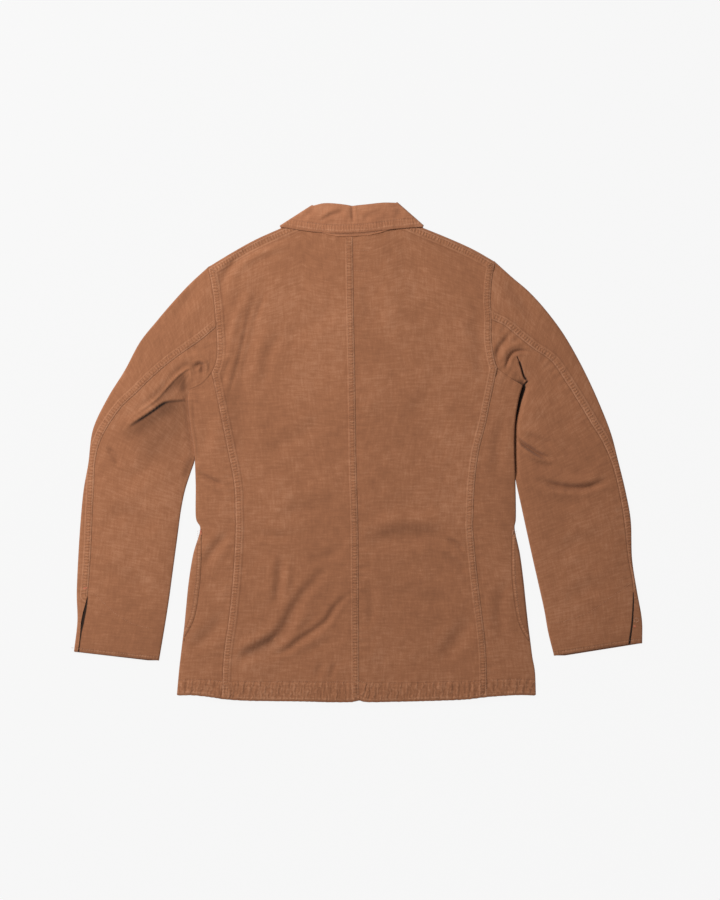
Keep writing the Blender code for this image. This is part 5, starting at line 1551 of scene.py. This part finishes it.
def sew_button(number):
    """Two bars of three strands, from hole to hole across the button's hollow."""
    low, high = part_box(f"button_{number}")
    middle_x, middle_y = (low[0] + high[0]) / 2, (low[1] + high[1]) / 2
    for level in (-HOLE_ACROSS, HOLE_ACROSS):
        strands = [(middle_x, middle_y + level + k * 0.4 * MM) for k in (-1, 0, 1)]
        sew(strands, lambda x, y: low[2] + DISH_DEPTH + 0 * x, up=-1.0, turn=True, length=2 * HOLE_PLACE)


sew_bartacks()
sew_loop(np.array(RING_PLACE) * MM, np.array(RING_SIZE) * MM, on_panel("top_sleeve_right"))
for level in BUTTON_LEVELS:
    sew_loop((CENTRE_FRONT, level), (11 * MM, 1.6 * MM), under_front("left"), up=-1.0)
for number in range(BUTTON_COUNT):
    sew_button(number + 1)

# %% Joining the stitches
LOZENGE = [(0, 1, 2), (0, 2, 3), (0, 3, 4), (0, 4, 1), (5, 2, 1), (5, 3, 2), (5, 4, 3), (5, 1, 4)]


def join_stitches(kind):
    corners = np.concatenate(STITCHES[kind])
    faces = np.arange(len(corners))[:, None, None] * 6 + np.array(LOZENGE)[None]
    mesh = bpy.data.meshes.new(kind)
    mesh.from_pydata(corners.reshape(-1, 3), [], faces.reshape(-1, 3).tolist())
    piece = new_object(kind.replace(" ", "_") + "_stitches", mesh)
    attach(piece, "root")
    print(kind, "-", len(corners), "stitches")
    return piece


THREADS = {kind: join_stitches(kind) for kind in STITCHES}

# %% [markdown]
# ## The buttons
# Five buttons of mottled brown horn close the front. They lie under the jacket with their faces down. Each
# is a dish turned on a lathe: a rounded rim, a hollow and four holes, crossed by two bars of thread.

# %% Turning a button
RINGS, SPOKES = 26, 64
HOLE_RADIUS, HOLE_DEPTH = 0.85 * MM, 1.4 * MM


def button_face(r, angle):
    """How far the face lies below the button's highest level."""
    share = r / BUTTON_RADIUS
    rim = 1.5 * MM * np.maximum(share - 0.86, 0) ** 2 / 0.14 ** 2
    dish = DISH_DEPTH * fading(share, 0.45, 0.25)
    x, y = r * np.cos(angle), r * np.sin(angle)
    near = np.hypot(np.abs(x) - HOLE_ACROSS, np.abs(y) - HOLE_ACROSS)
    return rim + dish + HOLE_DEPTH * fading(near, HOLE_RADIUS * 0.7, HOLE_RADIUS * 0.6)


def make_button(number):
    name = f"button_{number}"
    low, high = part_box(name)
    centre = (np.array(low) + np.array(high)) / 2
    r = BUTTON_RADIUS * np.linspace(0.02, 1, RINGS)[:, None]
    angle = np.linspace(0, 2 * np.pi, SPOKES, endpoint=False)[None]
    x, y = r * np.cos(angle), r * np.sin(angle)
    face = vectors(x, y, low[2] + button_face(r, angle))
    back = vectors(x, y, high[2] - 0.9 * MM * (r / BUTTON_RADIUS) ** 6)[::-1]
    rings = np.concatenate([face, back], 0)
    rings[..., :2] += centre[:2]
    index = np.arange(rings.shape[0] * SPOKES).reshape(-1, SPOKES)
    turned = np.roll(index, -1, 1)
    quads = np.stack([index[:-1], index[1:], turned[1:], turned[:-1]], -1).reshape(-1, 4).tolist()
    mesh = bpy.data.meshes.new(name)
    mesh.from_pydata(rings.reshape(-1, 3), [], quads + [index[0].tolist(), index[-1][::-1].tolist()])
    mesh.shade_smooth()
    piece = new_object(name + "_horn", mesh)
    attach(piece, "root")
    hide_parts(name)
    return piece


BUTTONS = [make_button(k + 1) for k in range(BUTTON_COUNT)]

# %% [markdown]
# ## The canvas
# Plain-weave cotton, dyed tan and washed many times. Its colour is uneven in three sizes: slow patches from
# washing, slubs a centimetre long in both thread directions, and the threads themselves. Seams add painted
# shade in their ditch, at their stitched rows and beside the fell, a pale worn line on the fell's edge and a
# ladder of puckers. Edges add painted shade at their rim and in the groove of their stitched line, and the
# shade fact of each point blends in the painted shade of creases and gaps. The class below lets the shader be
# written as plain sums, because a dozen Math nodes linked by hand hide what is being worked out.

# %% Shader sums
class Wire:
    """A socket of a material's node tree that can be added, multiplied and so on."""

    def __init__(self, tree, socket):
        self.tree, self.socket = tree, socket

    def node(self, kind, settings=None, inputs=None, out=0):
        return add_node(self.tree, kind, settings, inputs, out)

    def math(self, operation, *values):
        return self.node("ShaderNodeMath", {"operation": operation}, dict(enumerate(values)))

    def __add__(self, other):
        return self.math("ADD", self, other)

    def __sub__(self, other):
        return self.math("SUBTRACT", self, other)

    def __rsub__(self, other):
        return self.math("SUBTRACT", other, self)

    def __mul__(self, other):
        return self.math("MULTIPLY", self, other)

    def __truediv__(self, other):
        return self.math("DIVIDE", self, other)

    def __rtruediv__(self, other):
        return self.math("DIVIDE", other, self)

    __radd__, __rmul__ = __add__, __mul__

    def sine(self):
        return self.math("SINE", self)

    def between(self, low, high):
        """0 at low, 1 at high and smooth between; low may be the larger one."""
        ends = {1: low, 2: high, 3: 0.0, 4: 1.0}
        if low > high:
            ends = {1: high, 2: low, 3: 1.0, 4: 0.0}
        return self.node("ShaderNodeMapRange", {"interpolation_type": "SMOOTHSTEP"}, {0: self, **ends})

    def bell(self, middle, width):
        """1 at the middle, falling to 0 at about twice the width to either side."""
        away = (self - middle) / width
        return self.math("EXPONENT", away * away * -1.0)

    def blend(self, first, second):
        """The first colour where this is 0, the second where it is 1."""
        return self.node("ShaderNodeMix", {"data_type": "RGBA"}, {0: self, 6: first, 7: second}, out=2)

    def bump(self, strength, distance):
        """A normal that leans where this rises or falls."""
        inputs = {"Strength": strength, "Distance": distance, "Height": self}
        return self.node("ShaderNodeBump", inputs=inputs, out="Normal")


def add_node(tree, kind, settings=None, inputs=None, out=0):
    """One node: its settings first, then the values or links of its sockets. Gives back one output."""
    node = tree.nodes.new(kind)
    for setting, value in (settings or {}).items():
        if setting == "stops":
            ramp = node.color_ramp.elements
            while len(ramp) < len(value):
                ramp.new(0.5)
            for element, (place, colour) in zip(ramp, value):
                element.position, element.color = place, colour
        else:
            setattr(node, setting, value)
    for place, value in (inputs or {}).items():
        if isinstance(value, Wire):
            tree.links.new(value.socket, node.inputs[place])
        else:
            node.inputs[place].default_value = value
    return Wire(tree, node.outputs[out]) if node.outputs else None


def new_material(name, **constants):
    """A material, its tree and its shader, with the constants set on the shader's own sockets."""
    material = bpy.data.materials.new(name)
    material.use_nodes = True
    tree = material.node_tree
    shader = tree.nodes["Principled BSDF"]
    for socket, value in constants.items():
        shader.inputs[socket.replace("_", " ")].default_value = value
    return material, tree, shader


def feed(shader, **wires):
    """Links each wire to the shader's socket of that name."""
    for socket, wire in wires.items():
        wire.tree.links.new(wire.socket, shader.inputs[socket.replace("_", " ")])


def attribute(tree, name, out="Vector"):
    return add_node(tree, "ShaderNodeAttribute", {"attribute_name": name}, out=out)


def parts(wire):
    return [wire.node("ShaderNodeSeparateXYZ", inputs={0: wire}, out=k) for k in range(3)]


# %% The canvas material
TAN_COLLAR = (0.372, 0.152, 0.075, 1)          # the collar is lighter than the rest of the canvas
# TAN_DARK is both the darker random tone and the colour of the painted shade in seams and edges
TAN, TAN_DARK, TAN_PALE = (0.322, 0.131, 0.062, 1), (0.120, 0.045, 0.022, 1), (0.62, 0.32, 0.19, 1)
THREADS_A_METRE, TURN = 1150.0, 2 * math.pi
LADDER_PITCH, SLANT_PITCH, SHORT_PITCH, CUFF_FINE_PITCH = 4.7 * MM, 8.6 * MM, 4.9 * MM, 4.3 * MM
# the near-black colour that painted shade blends the canvas towards
PAINTED_SHADE_COLOUR = (0.010, 0.004, 0.002, 1)


def canvas_material(name, tan):
    material, tree, shader = new_material(name, Roughness=0.9, Specular_IOR_Level=0.18,
                                          Sheen_Weight=0.12, Sheen_Roughness=0.6)
    place = attribute(tree, "cloth")
    u, v, _ = parts(place)
    across, along, role = parts(attribute(tree, "seam"))
    above, edge_along, depth = parts(attribute(tree, "edge"))
    shade = attribute(tree, "shade", "Fac")

    def noise(scale, stretch=(1, 1, 1), detail=2.0, shift=0.0):
        moved = place.node("ShaderNodeMapping", inputs={0: place, 1: (shift, shift, 0), 3: stretch})
        return place.node("ShaderNodeTexNoise", {"noise_dimensions": "3D"},
                          {"Vector": moved, "Scale": scale, "Detail": detail, "Roughness": 0.55})

    broad = noise(5, detail=2, shift=3) - 0.5
    patches = noise(16, detail=3) - 0.5
    mottle = noise(70, detail=3, shift=4) - 0.5
    slub_u = noise(330, (0.16, 1, 1), 3, 7) - 0.5
    slub_v = noise(330, (1, 0.16, 1), 3, 9) - 0.5
    grain = noise(900, detail=2, shift=2) - 0.5
    turn = TURN * THREADS_A_METRE / 2
    warp, weft = (u * turn).sine(), (v * turn).sine()
    weave = warp * weft
    mm_across, mm_above, mm_depth = across * 1000.0, above * 1000.0, depth * 1000.0

    # seams: painted shade in the ditch, at the stitched rows and beside the fell; a pale worn edge; a ladder
    # between the rows
    wobble, patchy = noise(120, shift=1) - 0.5, noise(60, shift=6) - 0.5
    fell = role.between(0.2, 0.8)
    ladder = ((along * (TURN / LADDER_PITCH)) + wobble * 7.0).sine()
    ladder = ladder * mm_across.between(1.4, 3.0) * mm_across.between(10.0, 7.6)
    ladder = ladder * (patchy * 2.4 + 0.85) * fell
    ditch = mm_across.bell(0.0, 0.8)
    pale = mm_across.bell(1.4, 0.8) * fell
    rows = (mm_across.bell(2.6, 0.6) + mm_across.bell(8.6, 0.6)) * fell
    outer_ridge = (mm_across.bell(10.4, 0.9) + mm_across.bell(5.6, 0.8) * 0.5) * fell
    outer_ditch = mm_across.bell(12.6, 1.1) * fell

    # edges: painted shade at the rim where the edge turns under, a pale line, slanted puckers, and painted
    # shade in the stitched line's groove
    slant = ((edge_along * (TURN / SLANT_PITCH)) + mm_above * 0.20 + wobble * 14.0).sine()
    short = ((edge_along * (TURN / SHORT_PITCH)) - mm_above * 0.1 + wobble * 9.0).sine()
    inside = (mm_depth - mm_above).between(-2.5, 1.5) * mm_above.between(0.8, 3.0)
    narrow = mm_depth.between(18, 14)
    fine = ((edge_along * (TURN / CUFF_FINE_PITCH)) + wobble * 8.0).sine() * 0.45
    puckers = ((slant * 0.6 + short * 0.4) * (1.0 - narrow) + fine * narrow) * inside
    rim = mm_above.between(2.2, 0.8)
    rim_pale = mm_above.bell(3.8, 1.0)
    line = (mm_above - mm_depth).bell(0.0, 0.9)

    tone = broad * 0.55 + patches * 0.32 + mottle * 0.34 + slub_u * 0.62 + slub_v * 0.46 + grain * 0.6
    tone = tone + weave * 0.04 + ladder * 0.17 + puckers * 0.17 + outer_ridge * 0.20
    light = pale * 0.36 + rim_pale * 0.24 + tone
    # painted shade in the seams' ditches, at the stitched rows, beside the fell, at edge rims and in stitched
    # grooves
    dark = ditch * 0.34 + rows * 0.08 + outer_ditch * 0.16 + rim * 0.12 + line * 0.24
    colour = light.blend(tan, TAN_PALE)
    colour = (tone * -1.0).blend(colour, TAN_DARK)
    colour = dark.blend(colour, TAN_DARK)
    # painted shade from the creases, the valley beside the body, the vent, the pocket's edge and the stand
    colour = shade.blend(colour, PAINTED_SHADE_COLOUR)
    height = weave * 0.10 + slub_u * 0.5 + slub_v * 0.4 + grain * 0.35 + ladder * 0.9 + puckers * 1.0
    height = height - ditch * 1.2 - rows * 0.6 - line * 0.6
    feed(shader, Base_Color=colour, Normal=height.bump(0.55, 0.0005))
    return material


canvas, lighter_canvas = canvas_material("canvas", TAN), canvas_material("lighter canvas", TAN_COLLAR)
for name, piece in PIECES.items():
    piece.data.materials.append(lighter_canvas if name.startswith("collar") else canvas)


# %% [markdown]
# Thread is twisted from plies, so fine slanted lines run across each stitch. Horn is clear in some places
# and cloudy in others, which a noise pulled out in one direction gives.

# %% Thread and horn
TWIST_PITCH = 0.5 * MM
THREAD_LOOKS = {"thread": ((0.40, 0.18, 0.095, 1), (0.52, 0.27, 0.16, 1)),      # the colour, and where worn
                "red thread": ((0.56, 0.15, 0.08, 1), (0.66, 0.26, 0.15, 1))}
HORN, HORN_DARK, HORN_CLEAR = (0.17, 0.09, 0.045, 1), (0.05, 0.024, 0.012, 1), (0.38, 0.24, 0.13, 1)


def thread_material(name, colour, worn):
    material, tree, shader = new_material(name, Roughness=0.75, Sheen_Weight=0.3)
    place = add_node(tree, "ShaderNodeTexCoord", out="Object")
    x, y, z = parts(place)
    twist = ((x + y * 0.8 + z * 2.0) * (TURN / TWIST_PITCH)).sine()
    wear = place.node("ShaderNodeTexNoise", inputs={"Vector": place, "Scale": 160.0, "Detail": 2.0})
    shaded = wear.between(0.3, 0.7).blend(colour, worn)
    feed(shader, Base_Color=shaded, Normal=twist.bump(0.4, 0.0001))
    return material


def horn_material():
    material, tree, shader = new_material("horn", Coat_Weight=0.15)
    place = add_node(tree, "ShaderNodeTexCoord", out="Object")
    pulled = place.node("ShaderNodeMapping", inputs={0: place, 3: (1.0, 0.35, 1.0)})
    cloud = place.node("ShaderNodeTexNoise",
                       inputs={"Vector": pulled, "Scale": 420.0, "Detail": 4.0, "Distortion": 0.8})
    stops = [(0.34, HORN_DARK), (0.55, HORN), (0.72, HORN_CLEAR)]
    ramp = cloud.node("ShaderNodeValToRGB", {"stops": stops}, {0: cloud})
    feed(shader, Base_Color=ramp, Roughness=cloud * 0.25 + 0.25)
    return material


for kind, looks in THREAD_LOOKS.items():
    THREADS[kind].data.materials.append(thread_material(kind, *looks))
horn = horn_material()
for piece in BUTTONS:
    piece.data.materials.append(horn)
print("materials:", [material.name for material in bpy.data.materials])

# %% [markdown]
# ## Floor, light and camera
# The jacket is seen from straight above. One large soft light at the upper left gives the slopes a bright
# side, and a pale sky fills the rest. The floor is nearly white, so it hardly shows a shadow.

# %% Floor
FLOOR_REACH, FLOOR_LEVEL = 40.0, -0.2 * MM      # metres each way, and just under the jacket


def make_floor():
    mesh = bpy.data.meshes.new("floor")
    corners = [(x * FLOOR_REACH, y * FLOOR_REACH, 0) for x, y in ((-1, -1), (1, -1), (1, 1), (-1, 1))]
    mesh.from_pydata(corners, [], [(0, 1, 2, 3)])
    floor = new_object("floor", mesh)
    floor.location.z = FLOOR_LEVEL
    material = bpy.data.materials.new("pale floor")
    material.use_nodes = True
    tree = material.node_tree
    tree.nodes.clear()
    matt = add_node(tree, "ShaderNodeBsdfDiffuse", inputs={"Color": (0.9, 0.9, 0.9, 1)})
    glow = add_node(tree, "ShaderNodeEmission", inputs={"Color": (1, 1, 1, 1), "Strength": 0.932})
    pale = add_node(tree, "ShaderNodeMixShader", inputs={0: 0.98, 1: matt, 2: glow})
    add_node(tree, "ShaderNodeOutputMaterial", inputs={0: pale})
    mesh.materials.append(material)


make_floor()


# %% Light
KEY_PLACE, KEY_SIZE, KEY_POWER, SKY_STRENGTH = (-1.45, 1.1, 1.7), 0.9, 61.0, 0.31


def make_light():
    key = bpy.data.lights.new("key", "AREA")
    key.shape, key.size, key.energy = "DISK", KEY_SIZE, KEY_POWER
    key.color = (1.0, 0.985, 0.965)
    lamp = new_object("key", key)
    lamp.location = KEY_PLACE
    lamp.rotation_euler = (-lamp.location).to_track_quat("-Z", "Y").to_euler()
    world = bpy.data.worlds.new("studio")
    world.use_nodes = True
    sky = world.node_tree.nodes["Background"]
    sky.inputs["Color"].default_value = (1.0, 0.955, 0.915, 1)
    sky.inputs["Strength"].default_value = SKY_STRENGTH
    bpy.context.scene.world = world
    bpy.context.scene.view_settings.view_transform = "Standard"


make_light()


# %% Camera
VIEW_HEIGHT, VIEW_CENTRE = 1368 * MM, (3.04 * MM, 2.28 * MM)
CAMERA_HEIGHT, SENSOR = 5.0, 36.0


def make_camera():
    data = bpy.data.cameras.new("camera")
    data.sensor_width = SENSOR
    data.lens = SENSOR * CAMERA_HEIGHT / VIEW_HEIGHT
    data.clip_end = 2.5 * FLOOR_REACH
    camera = new_object("camera", data)
    camera.location = (*VIEW_CENTRE, CAMERA_HEIGHT)
    bpy.context.scene.camera = camera


make_camera()
print("camera", CAMERA_HEIGHT, "m up, lens", round(bpy.context.scene.camera.data.lens, 1), "mm")
